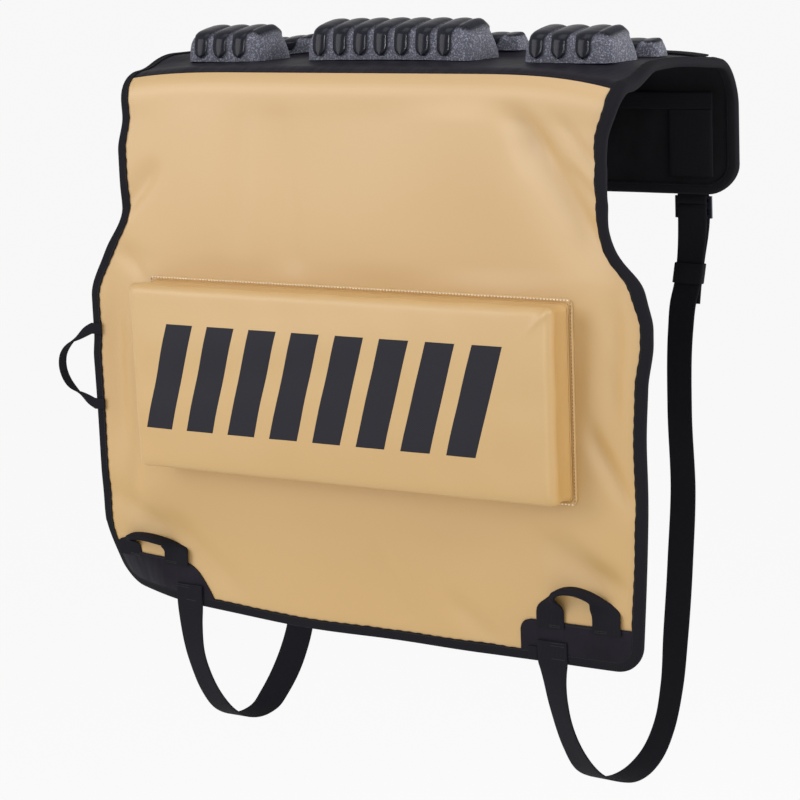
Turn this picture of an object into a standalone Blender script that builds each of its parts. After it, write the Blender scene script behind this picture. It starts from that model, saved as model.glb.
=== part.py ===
"""A padded tailgate cover for carrying two bicycles on a pickup truck.

The pad hangs over the top of the tailgate: a long front panel outside, a flat
top with ridged foam cradle blocks, and a short flap inside. Two webbing loops
run under the tailgate from the front corners to buckles on the flap. The
origin is the centre of the flat underside of the top. X runs across the
tailgate, the front panel faces -Y and +Z is up. All sizes are in metres.
"""

import math

import bmesh
import bpy
from mathutils import Vector

# Fit between pieces that touch on the real pad
CLEARANCE = 0.0003

# Cross-section of the pad, measured on its inner face
INNER_DEPTH = 0.300
FRONT_DROP = 0.6495
FLAP_DROP = 0.1595
FRONT_BEND = 0.022
REAR_BEND = 0.032

# Layers, from the inside out
LINING_THICKNESS = 0.0012
FOAM_THICKNESS = 0.005
COVER_THICKNESS = 0.0012
SEAM_RISE = 0.020

# Outline of the pad
NECK_HALF = 0.334
WIDEST_HALF = 0.386
HEM_HALF = 0.372
WIDEST_DROP = 0.3045
SHOULDER_DROP = 0.2695
NECK_DROP = 0.1595
HEM_CORNER = 0.032
FLAP_CORNER = 0.036
COLUMN_SHARES = (0.0, 0.3, 0.6, 0.82, 1.0)

# Slack in the cloth: the ends of the top hang down a little
SLACK_FROM = 0.150
FRONT_SLACK = 0.018
REAR_SLACK = 0.010
SLACK_FADE = 0.100
TOP_FADE = 0.055

# Edge binding, folded round the whole outline
BINDING_WIDTH = 0.013
BINDING_THICKNESS = 0.0012

# Padded bumper box on the front panel
BUMPER_HALF = 0.285
BUMPER_TOP = 0.2445
BUMPER_BOTTOM = 0.4640
BUMPER_DEPTH = 0.043
BUMPER_FLANGE = 0.006
BUMPER_ROUND = 0.006
BUMPER_SKIN = 0.0012
FLANGE_THICKNESS = 0.0016

# Cradle blocks of moulded foam, in a front row and a lower rear row
MIDDLE_HALF = 0.115
CRADLE_GAP = 0.064
SIDE_WIDTH = 0.116
FRONT_ROW_SETBACK = 0.0875
FRONT_BLOCK_DEPTH = 0.066
FRONT_MIDDLE_HEIGHT = 0.047
FRONT_SIDE_HEIGHT = 0.041
ROW_GAP = 0.037
REAR_BLOCK_DEPTH = 0.030
REAR_BLOCK_HEIGHT = 0.021
RIB_PITCH = 0.029
RIB_HEIGHT = 0.0045
BLOCK_CORNER = 0.018

# Webbing, patches and handles
WEBBING_WIDTH = 0.038
WEBBING_THICKNESS = 0.0022
STRAP_CENTRE = 0.256
STRAP_END_RISE = 0.026
STRAP_STITCH_RISE = 0.012
PATCH_BESIDE_STRAP = 0.024
PATCH_HEIGHT = 0.048
PATCH_CORNER = 0.014
PATCH_THICKNESS = 0.0012
HANDLE_WIDTH = 0.034
HANDLE_THICKNESS = 0.0018
HANDLE_SPAN = 0.0685
HANDLE_ABOVE_STRAP = 0.015
HANDLE_FOOT_LENGTH = 0.014
HANDLE_RISE = 0.0445
HANDLE_STANDOFF = 0.021
HANDLE_PINCH = 0.006

# Hanging loops of the two straps, from the hem down and from the flap forward
LOOP_START = 0.004
LOOP_LEVEL = 0.0405
RIGHT_LOOP_DEPTH = 0.155
LEFT_LOOP_DEPTH = 0.129
RIGHT_LOOP_LEAN = 0.020
LEFT_LOOP_LEAN = 0.084
REAR_OUTBOARD = 0.0125
REAR_LEAN_LENGTH = 0.115

# Ladder-lock buckle below each end of the flap
BUCKLE_WIDTH = 0.048
BUCKLE_THICKNESS = 0.0032
BUCKLE_TOP_GAP = 0.003
BUCKLE_BAR = 0.0036
BUCKLE_SLOT = 0.0078
BUCKLE_TAB = 0.008
KEEPER_DROP = 0.080
KEEPER_HEIGHT = 0.024
KEEPER_THICKNESS = 0.0016
TAIL_LENGTH = 0.024

# Webbing on the flap and on the top
FLAP_PATCH_WIDTH = 0.057
FLAP_PATCH_OUTBOARD = 0.006
FLAP_PATCH_FROM = 0.040
FLAP_PATCH_CLEAR = 0.0085
CROSS_WEBBING_HEIGHT = 0.020
ANCHOR_LENGTH = 0.034
TOP_WEBBING_WIDTH = 0.025
TOP_WEBBING_GAP = 0.030
TOP_WEBBING_INSET = 0.005

# Carry loop on the left edge and pull tab on the hem
LOOP_WIDTH = 0.016
LOOP_THICKNESS = 0.0018
LOOP_TOP_DROP = 0.3055
LOOP_BOTTOM_DROP = 0.4015
LOOP_REACH = 0.054
LOOP_FOOT = 0.009
TAB_BESIDE_STRAP = 0.002
TAB_WIDTH = 0.012
TAB_LENGTH = 0.016

# Sizes that follow from the ones above
PAD_THICKNESS = LINING_THICKNESS + FOAM_THICKNESS + COVER_THICKNESS + 2 * CLEARANCE
FRONT_STRAIGHT = FRONT_DROP - FRONT_BEND
FRONT_ARC = FRONT_BEND * math.pi / 2
TOP_STRAIGHT = INNER_DEPTH - FRONT_BEND - REAR_BEND
REAR_ARC = REAR_BEND * math.pi / 2
FLAP_STRAIGHT = FLAP_DROP - REAR_BEND
TOP_START = FRONT_STRAIGHT + FRONT_ARC
TOP_END = TOP_START + TOP_STRAIGHT
FLAP_START = TOP_END + REAR_ARC
PATH_LENGTH = FLAP_START + FLAP_STRAIGHT
FRONT_FACE = -INNER_DEPTH / 2 - PAD_THICKNESS
LAYER_INSET = BINDING_THICKNESS + CLEARANCE
STRAP_INNER = STRAP_CENTRE - WEBBING_WIDTH / 2
HANDLE_FOOT_RISE = STRAP_END_RISE + HANDLE_ABOVE_STRAP


def clear_scene():
    """Remove whatever the scene holds."""
    for item in list(bpy.data.objects):
        bpy.data.objects.remove(item, do_unlink=True)


def finish(name, colour, roughness):
    """A material with one colour, shared by the pieces made of it."""
    material = bpy.data.materials.get(name) or bpy.data.materials.new(name)
    material.use_nodes = True
    shader = material.node_tree.nodes["Principled BSDF"]
    shader.inputs["Base Color"].default_value = (*colour, 1.0)
    shader.inputs["Roughness"].default_value = roughness
    return material


def yellow_tarpaulin():
    return finish("yellow_tarpaulin", (0.72, 0.49, 0.24), 0.5)


def black_tarpaulin():
    return finish("black_tarpaulin", (0.03, 0.028, 0.032), 0.5)


def black_webbing():
    return finish("black_webbing", (0.018, 0.018, 0.02), 0.8)


def moulded_foam():
    return finish("moulded_foam", (0.035, 0.036, 0.045), 0.45)


def soft_foam():
    return finish("soft_foam", (0.25, 0.25, 0.26), 0.95)


def lining_cloth():
    return finish("lining_cloth", (0.012, 0.012, 0.013), 0.95)


def buckle_plastic():
    return finish("buckle_plastic", (0.02, 0.022, 0.03), 0.35)


def add_object(name, points, faces, material, sharp_degrees=35):
    """One closed body from its corners and faces, with its faces turned outwards."""
    mesh = bpy.data.meshes.new(name)
    mesh.from_pydata([tuple(p) for p in points], [], faces)
    work = bmesh.new()
    work.from_mesh(mesh)
    bmesh.ops.recalc_face_normals(work, faces=work.faces)
    work.to_mesh(mesh)
    work.free()
    mesh.materials.append(material)
    mesh.shade_smooth()
    mesh.set_sharp_from_angle(angle=math.radians(sharp_degrees))
    piece = bpy.data.objects.new(name, mesh)
    bpy.context.scene.collection.objects.link(piece)
    return piece


def smooth_step(value):
    value = min(max(value, 0.0), 1.0)
    return value * value * (3 - 2 * value)


def section(s, offset):
    """Point (y, z) of the pad's section at path length s from the front hem."""
    half = INNER_DEPTH / 2
    if s <= FRONT_STRAIGHT:
        return -half - offset, s - FRONT_DROP
    if s <= TOP_START:
        angle = (s - FRONT_STRAIGHT) / FRONT_BEND
        radius = FRONT_BEND + offset
        return FRONT_BEND - half - radius * math.cos(angle), radius * math.sin(angle) - FRONT_BEND
    if s <= TOP_END:
        return FRONT_BEND - half + s - TOP_START, offset
    if s <= FLAP_START:
        angle = (s - TOP_END) / REAR_BEND
        radius = REAR_BEND + offset
        return half - REAR_BEND + radius * math.sin(angle), radius * math.cos(angle) - REAR_BEND
    return half + offset, FLAP_START - s - REAR_BEND


def slack(x, s):
    """How far the cloth hangs below its straight section near the ends of the top."""
    share = max(abs(x) - SLACK_FROM, 0.0) / (NECK_HALF - SLACK_FROM)
    front = smooth_step((s - FRONT_STRAIGHT + SLACK_FADE) / SLACK_FADE)
    front *= 1 - smooth_step((s - TOP_START) / TOP_FADE)
    rear = smooth_step((s - TOP_END) / REAR_ARC)
    rear *= 1 - smooth_step((s - FLAP_START) / FLAP_STRAIGHT)
    return share**3 * (FRONT_SLACK * front + REAR_SLACK * rear)


def surface(x, s, offset):
    """Point of the pad at x across, s along the section and offset outside the lining."""
    y, z = section(s, offset)
    return Vector((x, y, z - slack(x, s)))


def drop_to_s(drop):
    """Path length of a place on the front panel, from its height below the top."""
    return FRONT_DROP - drop


def half_width(s):
    """Half width of the outline, corners apart."""
    widest = drop_to_s(WIDEST_DROP)
    if s < widest:
        return HEM_HALF + (WIDEST_HALF - HEM_HALF) * math.sin(math.pi / 2 * s / widest)
    start, end = drop_to_s(SHOULDER_DROP), drop_to_s(NECK_DROP)
    return WIDEST_HALF + (NECK_HALF - WIDEST_HALF) * smooth_step((s - start) / (end - start))


def spread(start, end, count):
    """Evenly spaced values from start up to, but not including, end."""
    return [start + (end - start) * i / count for i in range(count)]


def outline_levels():
    """Path lengths between the two rounded ends where the outline has a point."""
    shoulder, neck = drop_to_s(SHOULDER_DROP), drop_to_s(NECK_DROP)
    levels = spread(HEM_CORNER, drop_to_s(WIDEST_DROP), 6)
    levels += [drop_to_s(WIDEST_DROP)]
    levels += spread(shoulder, neck, 6)
    levels += spread(neck, FRONT_STRAIGHT, 4)
    levels += spread(FRONT_STRAIGHT, TOP_START, 5)
    levels += spread(TOP_START, TOP_START + TOP_FADE, 4)
    levels += spread(TOP_START + TOP_FADE, TOP_END, 3)
    levels += spread(TOP_END, FLAP_START, 5)
    levels += spread(FLAP_START, PATH_LENGTH - FLAP_CORNER, 3)
    return levels + [PATH_LENGTH - FLAP_CORNER]


def right_outline():
    """The right half of the outline as (x, s), from the hem to the end of the flap."""
    points = [(0.0, 0.0)]
    corner_steps = 5
    centre = half_width(HEM_CORNER) - HEM_CORNER
    for i in range(corner_steps):
        angle = math.pi / 2 * i / corner_steps
        points.append((centre + HEM_CORNER * math.sin(angle), HEM_CORNER * (1 - math.cos(angle))))
    points += [(half_width(s), s) for s in outline_levels()]
    centre = NECK_HALF - FLAP_CORNER
    for i in range(1, corner_steps + 1):
        angle = math.pi / 2 * i / corner_steps
        rise = FLAP_CORNER * (math.sin(angle) - 1)
        points.append((centre + FLAP_CORNER * math.cos(angle), PATH_LENGTH + rise))
    return points + [(0.0, PATH_LENGTH)]


def inset_outline(inset):
    """The right outline moved inwards by inset, with one point for each of its points."""
    points = [Vector(p) for p in right_outline()]
    moved = []
    for i, point in enumerate(points):
        before = points[i - 1] if i else Vector((-points[1].x, points[1].y))
        after = points[i + 1] if i + 1 < len(points) else Vector((-points[-2].x, points[-2].y))
        first = (point - before).normalized()
        second = (after - point).normalized()
        inward = Vector((-first.y - second.y, first.x + second.x)).normalized()
        scale = 1 / max(inward.dot(Vector((-first.y, first.x))), 0.5)
        moved.append(point + inward * inset * scale)
    return moved


def clip_outline(points, low, high):
    """The part of an outline between two path lengths, with a point at each cut."""
    kept = []
    for before, after in zip(points, points[1:]):
        for level in (low, high):
            if before.y < level < after.y:
                kept.append(before.lerp(after, (level - before.y) / (after.y - before.y)))
        if low <= after.y <= high:
            kept.append(after)
    if points[0].y >= low:
        kept.insert(0, points[0])
    return sorted(kept, key=lambda p: p.y)


def columns_of(width):
    """X positions across a row: one column lies under the binding's inner edge."""
    inner = width - BINDING_WIDTH + LAYER_INSET
    right = [share * inner for share in COLUMN_SHARES] + [width]
    return [-x for x in reversed(right[1:])] + right


def add_layer(name, low, high, inner, thickness, material):
    """One cloth or foam layer of the pad, between two path lengths."""
    edge = clip_outline(inset_outline(LAYER_INSET), low, high)
    rows = [(p.x, p.y) for p in edge if p.x > 2 * BINDING_WIDTH]
    points = []
    for offset in (inner, inner + thickness):
        for width, s in rows:
            points += [surface(x, s, offset) for x in columns_of(width)]
    wide = 2 * len(COLUMN_SHARES) + 1
    return add_object(name, points, sheet_faces(wide, len(rows)), material)


def split_quad(a, b, c, d, along_ac):
    """Two triangles from a four-cornered face, cut from a to c or from b to d."""
    return [(a, b, c), (a, c, d)] if along_ac else [(a, b, d), (b, c, d)]


def ring_faces(rings, count):
    """Faces of a closed tube: rings in order, each of count points, joined end to end."""
    faces = []
    for ring in range(rings):
        start, following = ring * count, (ring + 1) % rings * count
        for i in range(count):
            j = (i + 1) % count
            faces.append((start + i, start + j, following + j, following + i))
    return faces


def add_binding():
    """The folded tape round the outline: a U of cloth, closed into a ring."""
    outer = PAD_THICKNESS + CLEARANCE
    profile = [
        (0.0, -CLEARANCE - BINDING_THICKNESS),
        (0.0, outer + BINDING_THICKNESS),
        (BINDING_WIDTH, outer + BINDING_THICKNESS),
        (BINDING_WIDTH, outer),
        (BINDING_THICKNESS, outer),
        (BINDING_THICKNESS, -CLEARANCE),
        (BINDING_WIDTH, -CLEARANCE),
        (BINDING_WIDTH, -CLEARANCE - BINDING_THICKNESS),
    ]
    points = []
    for inset, offset in profile:
        right = inset_outline(inset)
        loop = right + [Vector((-p.x, p.y)) for p in reversed(right[1:-1])]
        points += [surface(p.x, p.y, offset) for p in loop]
    count = len(points) // len(profile)
    faces = []
    for number, (a, b, c, d) in enumerate(ring_faces(len(profile), count)):
        ring, i = divmod(number, count)
        inward = profile[(ring + 1) % len(profile)][0] > profile[ring][0]
        faces += split_quad(a, b, c, d, inward != (i < count // 2))
    add_object("edge_binding", points, faces, black_webbing(), 50)


def add_panel():
    """The layers of the pad: covers outside, three foam sheets, one lining inside."""
    seam = FRONT_STRAIGHT + SEAM_RISE
    foam_at = LINING_THICKNESS + CLEARANCE
    cover_at = foam_at + FOAM_THICKNESS + CLEARANCE
    half = CLEARANCE / 2
    tarpaulin = COVER_THICKNESS
    add_layer("front_cover", 0, seam - half, cover_at, tarpaulin, yellow_tarpaulin())
    add_layer("top_cover", seam + half, PATH_LENGTH, cover_at, tarpaulin, black_tarpaulin())
    add_layer("front_foam", 0, FRONT_STRAIGHT - half, foam_at, FOAM_THICKNESS, soft_foam())
    add_layer("top_foam", FRONT_STRAIGHT + half, FLAP_START - half, foam_at, FOAM_THICKNESS, soft_foam())
    add_layer("flap_foam", FLAP_START + half, PATH_LENGTH, foam_at, FOAM_THICKNESS, soft_foam())
    add_layer("lining", 0, PATH_LENGTH, 0, LINING_THICKNESS, lining_cloth())


def rounded_rectangle(half_x, low, high, radius, steps=3):
    """Points (x, z) round a rectangle with rounded corners."""
    points = []
    corners = ((half_x, high, 0), (-half_x, high, 1), (-half_x, low, 2), (half_x, low, 3))
    for x, z, turn in corners:
        centre_x = x - math.copysign(radius, x)
        centre_z = z - radius if z == high else z + radius
        for i in range(steps + 1):
            angle = math.pi / 2 * (turn + i / steps)
            points.append((centre_x + radius * math.cos(angle), centre_z + radius * math.sin(angle)))
    return points


def loft(rings, material, name, sharp_degrees=35):
    """A solid through closed rings of equal count, with a flat cap at each end."""
    count = len(rings[0])
    points = [p for ring in rings for p in ring]
    faces = ring_faces(len(rings), count)[: -count]
    faces.append(tuple(reversed(range(count))))
    faces.append(tuple(range(len(points) - count, len(points))))
    return add_object(name, points, faces, material, sharp_degrees)


def bumper_ring(grow, depth):
    """A ring round the bumper box at a depth in front of the panel."""
    base = FRONT_FACE - CLEARANCE
    radius = BUMPER_ROUND + max(grow, 0.0)
    outline = rounded_rectangle(
        BUMPER_HALF + grow, -BUMPER_BOTTOM - grow, -BUMPER_TOP + grow, radius
    )
    return [Vector((x, base - depth, z)) for x, z in outline]


def add_bumper():
    """The padded box: a foam block, and a sewn cover that is open at the back."""
    edge = BUMPER_ROUND
    cover = [bumper_ring(BUMPER_FLANGE, 0), bumper_ring(BUMPER_FLANGE, FLANGE_THICKNESS)]
    cover.append(bumper_ring(0, FLANGE_THICKNESS))
    for share in (0.0, 0.5, 1.0):
        angle = math.pi / 2 * share
        depth = BUMPER_DEPTH - edge + edge * math.sin(angle)
        cover.append(bumper_ring(edge * (math.cos(angle) - 1), depth))
    inner = [bumper_ring(-edge, BUMPER_DEPTH - BUMPER_SKIN)]
    for share in (0.5, 0.0):
        angle = math.pi / 2 * share
        depth = BUMPER_DEPTH - edge + (edge - BUMPER_SKIN) * math.sin(angle)
        inner.append(bumper_ring((edge - BUMPER_SKIN) * math.cos(angle) - edge, depth))
    inner.append(bumper_ring(-BUMPER_SKIN, 0))
    count = len(cover[0])
    rings = cover + inner
    points = [p for ring in rings for p in ring]
    faces = []
    for ring in range(len(rings)):
        following = (ring + 1) % len(rings)
        if ring == len(cover) - 1:
            faces.append(tuple(ring * count + i for i in range(count)))
            faces.append(tuple(reversed([following * count + i for i in range(count)])))
            continue
        for i in range(count):
            j = (i + 1) % count
            quad = (ring * count + i, ring * count + j, following * count + j, following * count + i)
            faces.append(quad)
    add_object("bumper_cover", points, faces, yellow_tarpaulin())
    gap = BUMPER_SKIN + CLEARANCE
    block = [bumper_ring(-gap, 0)]
    for share in (0.0, 0.5, 1.0):
        angle = math.pi / 2 * share
        inside = edge - gap
        depth = BUMPER_DEPTH - edge + inside * math.sin(angle)
        block.append(bumper_ring(inside * math.cos(angle) - edge, depth))
    loft(block, soft_foam(), "bumper_foam")


def block_profile(depth, height):
    """Side profile of a cradle block as (back, up, rib share), from base front to base rear."""
    return [
        (0.0, 0.0, 0.0),
        (0.0, 0.09 * height, 0.0),
        (0.01 * depth, 0.20 * height, 0.75),
        (0.025 * depth, 0.34 * height, 1.0),
        (0.05 * depth, 0.62 * height, 1.0),
        (0.12 * depth, 0.74 * height, 1.0),
        (0.34 * depth, 0.84 * height, 1.0),
        (0.64 * depth, 0.90 * height, 1.0),
        (0.80 * depth, 0.80 * height, 1.0),
        (0.91 * depth, 0.55 * height, 0.9),
        (0.98 * depth, 0.25 * height, 0.4),
        (depth, 0.0, 0.0),
    ]


def rib_share(x, start, pitch):
    """Rib height at x as a share: rounded ribs with narrow valleys between them."""
    phase = ((x - start) / pitch) % 1.0
    across = abs(2 * phase - 1) / 0.8
    return math.sqrt(max(1 - across * across, 0.0))


def add_block(name, start, end, front, depth, height, pitch_count):
    """A ridged cradle block between two x positions, its front face at y = front."""
    base = PAD_THICKNESS + CLEARANCE
    pitch = (end - start) / pitch_count
    stations = []
    for rib in range(pitch_count):
        left = start + rib * pitch
        stations += [left + pitch * share for share in (0.0, 0.1, 0.24, 0.5, 0.76, 0.9)]
    stations.append(end)
    profile = block_profile(depth, height)
    points = []
    for x in stations:
        near = min(x - start, end - x)
        side = max(BLOCK_CORNER - near, 0.0)
        setback = BLOCK_CORNER - math.sqrt(max(BLOCK_CORNER**2 - side**2, 0.0))
        setback *= 0.6 * depth / FRONT_BLOCK_DEPTH
        rib = rib_share(x, start, pitch)
        if near < 1e-6:
            rib = 0.0
        room = depth - 2 * setback
        for i, (back, up, share) in enumerate(profile):
            ahead = profile[min(i + 1, len(profile) - 1)]
            behind = profile[max(i - 1, 0)]
            normal = Vector((behind[1] - ahead[1], ahead[0] - behind[0])).normalized()
            lift = RIB_HEIGHT * rib * share * height / FRONT_MIDDLE_HEIGHT
            y = front + setback + back * room / depth + normal.x * lift
            points.append(Vector((x, y, base + max(up + normal.y * lift, 0.0))))
    count = len(profile)
    faces = []
    for column in range(len(stations) - 1):
        for i in range(count):
            j = (i + 1) % count
            a = column * count
            faces.append((a + i, a + j, a + count + j, a + count + i))
    faces.append(tuple(range(count)))
    faces.append(tuple(range(len(points) - count, len(points))))
    add_object(name, points, faces, moulded_foam(), 40)


def add_blocks():
    """Two rows of three blocks, with a bicycle's down tube between neighbours."""
    front = FRONT_FACE + FRONT_ROW_SETBACK
    rear = front + FRONT_BLOCK_DEPTH + ROW_GAP
    side_start = MIDDLE_HALF + CRADLE_GAP
    side_end = side_start + SIDE_WIDTH
    rows = (
        ("front", front, FRONT_BLOCK_DEPTH, FRONT_SIDE_HEIGHT, FRONT_MIDDLE_HEIGHT),
        ("rear", rear, REAR_BLOCK_DEPTH, REAR_BLOCK_HEIGHT, REAR_BLOCK_HEIGHT),
    )
    side_ribs = round(SIDE_WIDTH / RIB_PITCH)
    middle_ribs = round(2 * MIDDLE_HALF / RIB_PITCH)
    for row, y, depth, side_height, middle_height in rows:
        add_block(f"{row}_block_left", -side_end, -side_start, y, depth, side_height, side_ribs)
        add_block(f"{row}_block_middle", -MIDDLE_HALF, MIDDLE_HALF, y, depth, middle_height, middle_ribs)
        add_block(f"{row}_block_right", side_start, side_end, y, depth, side_height, side_ribs)


def add_webbing(name, rows, thickness, material):
    """Webbing from the points of its middle surface: rows along it, columns across."""
    wide, long = len(rows[0]), len(rows)
    below, above = [], []
    for i, row in enumerate(rows):
        ahead, behind = rows[min(i + 1, long - 1)], rows[max(i - 1, 0)]
        for j, point in enumerate(row):
            along = ahead[j] - behind[j]
            across = row[min(j + 1, wide - 1)] - row[max(j - 1, 0)]
            normal = along.cross(across).normalized() * thickness / 2
            below.append(point - normal)
            above.append(point + normal)
    return add_object(name, below + above, sheet_faces(wide, long), material, 50)


def sheet_faces(wide, long):
    """Faces of a thin closed body: two grids of wide by long points, joined at the rim.

    Both grids are cut into triangles the same way, mirrored about the middle column,
    so that layers lie on each other without crossing.
    """
    size = wide * long
    faces = []
    for row in range(long - 1):
        for i in range(wide - 1):
            a = row * wide + i
            quad = (a, a + 1, a + wide + 1, a + wide)
            for triangle in split_quad(*quad, 2 * i + 1 > wide - 1):
                faces.append(triangle)
                faces.append(tuple(size + corner for corner in reversed(triangle)))
    rim = list(range(wide)) + [row * wide + wide - 1 for row in range(1, long)]
    rim += [size - 1 - i for i in range(1, wide)]
    rim += [row * wide for row in range(long - 2, 0, -1)]
    for a, b in zip(rim, rim[1:] + rim[:1]):
        faces.append((a, size + a, size + b, b))
    return faces


def add_corner_patches():
    """Reinforced hem corners that carry the handles and the straps."""
    offset = PAD_THICKNESS + CLEARANCE
    inset = BINDING_WIDTH + CLEARANCE
    inner = STRAP_INNER - PATCH_BESIDE_STRAP
    edge = [p for p in inset_outline(inset) if inset <= p.y <= PATCH_HEIGHT and p.x > inner]
    top_edge = half_width(PATCH_HEIGHT) - inset
    bottom = spread(inner, edge[0].x, 4)
    top = list(reversed(spread(inner + PATCH_CORNER, top_edge, 4)))
    lower = [(x, inset) for x in bottom] + [(p.x, p.y) for p in edge] + [(top_edge, PATCH_HEIGHT)]
    upper = [(x, PATCH_HEIGHT) for x in top]
    round_end = []
    for i in range(1, 4):
        angle = math.pi / 2 * i / 3
        x = inner + PATCH_CORNER * (1 - math.sin(angle))
        round_end.append((x, PATCH_HEIGHT - PATCH_CORNER * (1 - math.cos(angle))))
    outline = lower + upper + round_end
    for side, sign in (("left", -1), ("right", 1)):
        rows = [(s, sign * low, sign * high) for s, low, high in patch_rows(outline)]
        strip_on_pad(f"corner_patch_{side}", rows, offset, PATCH_THICKNESS, black_tarpaulin())


def patch_rows(outline):
    """Cut an outline into rows across: (s, lowest x, highest x)."""
    levels = sorted({round(v, 6) for _, v in outline})
    rows = []
    for level in levels:
        crossings = []
        for (u0, v0), (u1, v1) in zip(outline, outline[1:] + outline[:1]):
            if min(v0, v1) - 1e-6 <= level <= max(v0, v1) + 1e-6:
                if abs(v1 - v0) < 1e-6:
                    crossings += [u0, u1]
                else:
                    crossings.append(u0 + (u1 - u0) * (level - v0) / (v1 - v0))
        rows.append((level, min(crossings), max(crossings)))
    return rows


def strip_on_pad(name, rows, offset, thickness, material, columns=6):
    """A thin piece that follows the pad over its rows, each (s, low x, high x)."""
    points = []
    for level in (offset, offset + thickness):
        for s, low, high in rows:
            for i in range(columns + 1):
                points.append(surface(low + (high - low) * i / columns, s, level))
    return add_object(name, points, sheet_faces(columns + 1, len(rows)), material, 30)


def patch_face():
    """Offset of webbing that lies on a corner patch or on the binding."""
    return PAD_THICKNESS + CLEARANCE + max(PATCH_THICKNESS, BINDING_THICKNESS) + CLEARANCE


def add_handles():
    """Grab handles: flat feet on the patch, and an arch that stands out from the panel."""
    lie = patch_face() + HANDLE_THICKNESS / 2
    steps = 14
    foot_top = HANDLE_FOOT_RISE + HANDLE_FOOT_LENGTH
    for side, sign in (("left", -1), ("right", 1)):
        rows = []
        for i in range(-2, steps + 3):
            turn = min(max(i / steps, 0.0), 1.0)
            lift = math.sin(math.pi * turn)
            middle = STRAP_CENTRE + HANDLE_SPAN / 2 * (1 - math.cos(math.pi * turn))
            height = foot_top + (HANDLE_RISE - HANDLE_FOOT_LENGTH) * lift
            past_foot = max(-i, i - steps, 0)
            height -= HANDLE_FOOT_LENGTH * past_foot / 2
            crown = smooth_step(lift)
            facing = 1 if turn < 0.5 else -1
            width = HANDLE_WIDTH - HANDLE_PINCH * 4 * crown * (1 - crown)
            row = []
            for share in (-0.5, 0.0, 0.5):
                flat = surface(sign * (middle + facing * share * width), height, lie)
                arch = surface(sign * middle, height, lie + HANDLE_STANDOFF)
                arch.y -= share * width
                row.append(flat.lerp(arch, crown))
            rows.append(row)
        add_webbing(f"corner_handle_{side}", rows, HANDLE_THICKNESS, black_webbing())


def bar_wrap():
    """Radius of webbing's middle line where it turns round a buckle's bar."""
    return math.hypot(BUCKLE_THICKNESS, BUCKLE_BAR) / 2 + CLEARANCE + WEBBING_THICKNESS / 2


def buckle_place():
    """(y of the buckle's middle plane, z of its top edge)."""
    y = INNER_DEPTH / 2 + patch_face() + WEBBING_THICKNESS / 2 + bar_wrap()
    return y, -FLAP_DROP - BUCKLE_TOP_GAP


def arc(centre_y, centre_z, radius, start, end, steps):
    """Points (y, z) of an arc, angles in degrees from +Y towards +Z."""
    points = []
    for i in range(steps + 1):
        angle = math.radians(start + (end - start) * i / steps)
        points.append((centre_y + radius * math.cos(angle), centre_z + radius * math.sin(angle)))
    return points


def rear_x(x, z):
    """Middle of a strap's rear run at z: it leans outboard, up to its buckle."""
    lean_top = buckle_place()[1] - 2 * (BUCKLE_BAR + BUCKLE_SLOT) - BUCKLE_BAR
    share = smooth_step((z - lean_top) / REAR_LEAN_LENGTH + 1)
    return x + math.copysign(REAR_OUTBOARD * share, x)


def strap_rows(x, loop_depth, lean):
    """Rows of a strap from its sewn front end, under the tailgate, to its free tail."""
    lie = patch_face() + WEBBING_THICKNESS / 2
    half_width = WEBBING_WIDTH / 2
    sewn = (STRAP_END_RISE, STRAP_STITCH_RISE, 0.0)
    rows = [[surface(x + side * half_width, s, lie) for side in (-1, 1)] for s in sewn]
    front, rear = -INNER_DEPTH / 2 - lie, INNER_DEPTH / 2 - lean
    level = -FRONT_DROP - LOOP_LEVEL
    points = []
    for i in range(15):
        angle = math.pi * i / 14
        share = (1 - math.cos(angle)) / 2
        start = -FRONT_DROP - LOOP_START
        drop = (level - start) * share - loop_depth * math.sin(angle)
        points.append((front + (rear - front) * share, start + drop))
    buckle_y, buckle_top = buckle_place()
    wrap = bar_wrap()
    keeper = buckle_top - KEEPER_DROP
    run = buckle_y - WEBBING_THICKNESS / 2 - CLEARANCE
    rise = keeper - KEEPER_HEIGHT - level
    for i in range(1, 8):
        share = i / 7
        points.append((rear + (run - rear) * smooth_step(share), level + rise * share))
    bar_z = buckle_top - 1.5 * BUCKLE_BAR - BUCKLE_SLOT
    points += [(run, keeper), (buckle_y - wrap, bar_z - 3 * BUCKLE_BAR)]
    points += arc(buckle_y, bar_z, wrap, 180, 0, 6)
    tail = buckle_y + WEBBING_THICKNESS / 2 + CLEARANCE
    points += [(buckle_y + wrap, bar_z - 3 * BUCKLE_BAR), (tail, keeper), (tail, keeper - KEEPER_HEIGHT)]
    points.append((tail, keeper - KEEPER_HEIGHT - TAIL_LENGTH))
    for y, z in points:
        middle = rear_x(x, z)
        rows.append([Vector((middle + side * half_width, y, z)) for side in (-1, 1)])
    return rows


def add_straps():
    """Two straps with their buckles, keepers and anchor webbing."""
    loops = (
        ("left", -STRAP_CENTRE, LEFT_LOOP_DEPTH, LEFT_LOOP_LEAN),
        ("right", STRAP_CENTRE, RIGHT_LOOP_DEPTH, RIGHT_LOOP_LEAN),
    )
    for side, x, depth, lean in loops:
        rows = strap_rows(x, depth, lean)
        add_webbing(f"strap_{side}", rows, WEBBING_THICKNESS, black_webbing())
        buckle_x = rear_x(x, buckle_place()[1])
        add_buckle(f"buckle_{side}", buckle_x)
        add_keeper(f"strap_keeper_{side}", x)
        add_anchor(f"buckle_anchor_{side}", buckle_x)


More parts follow.
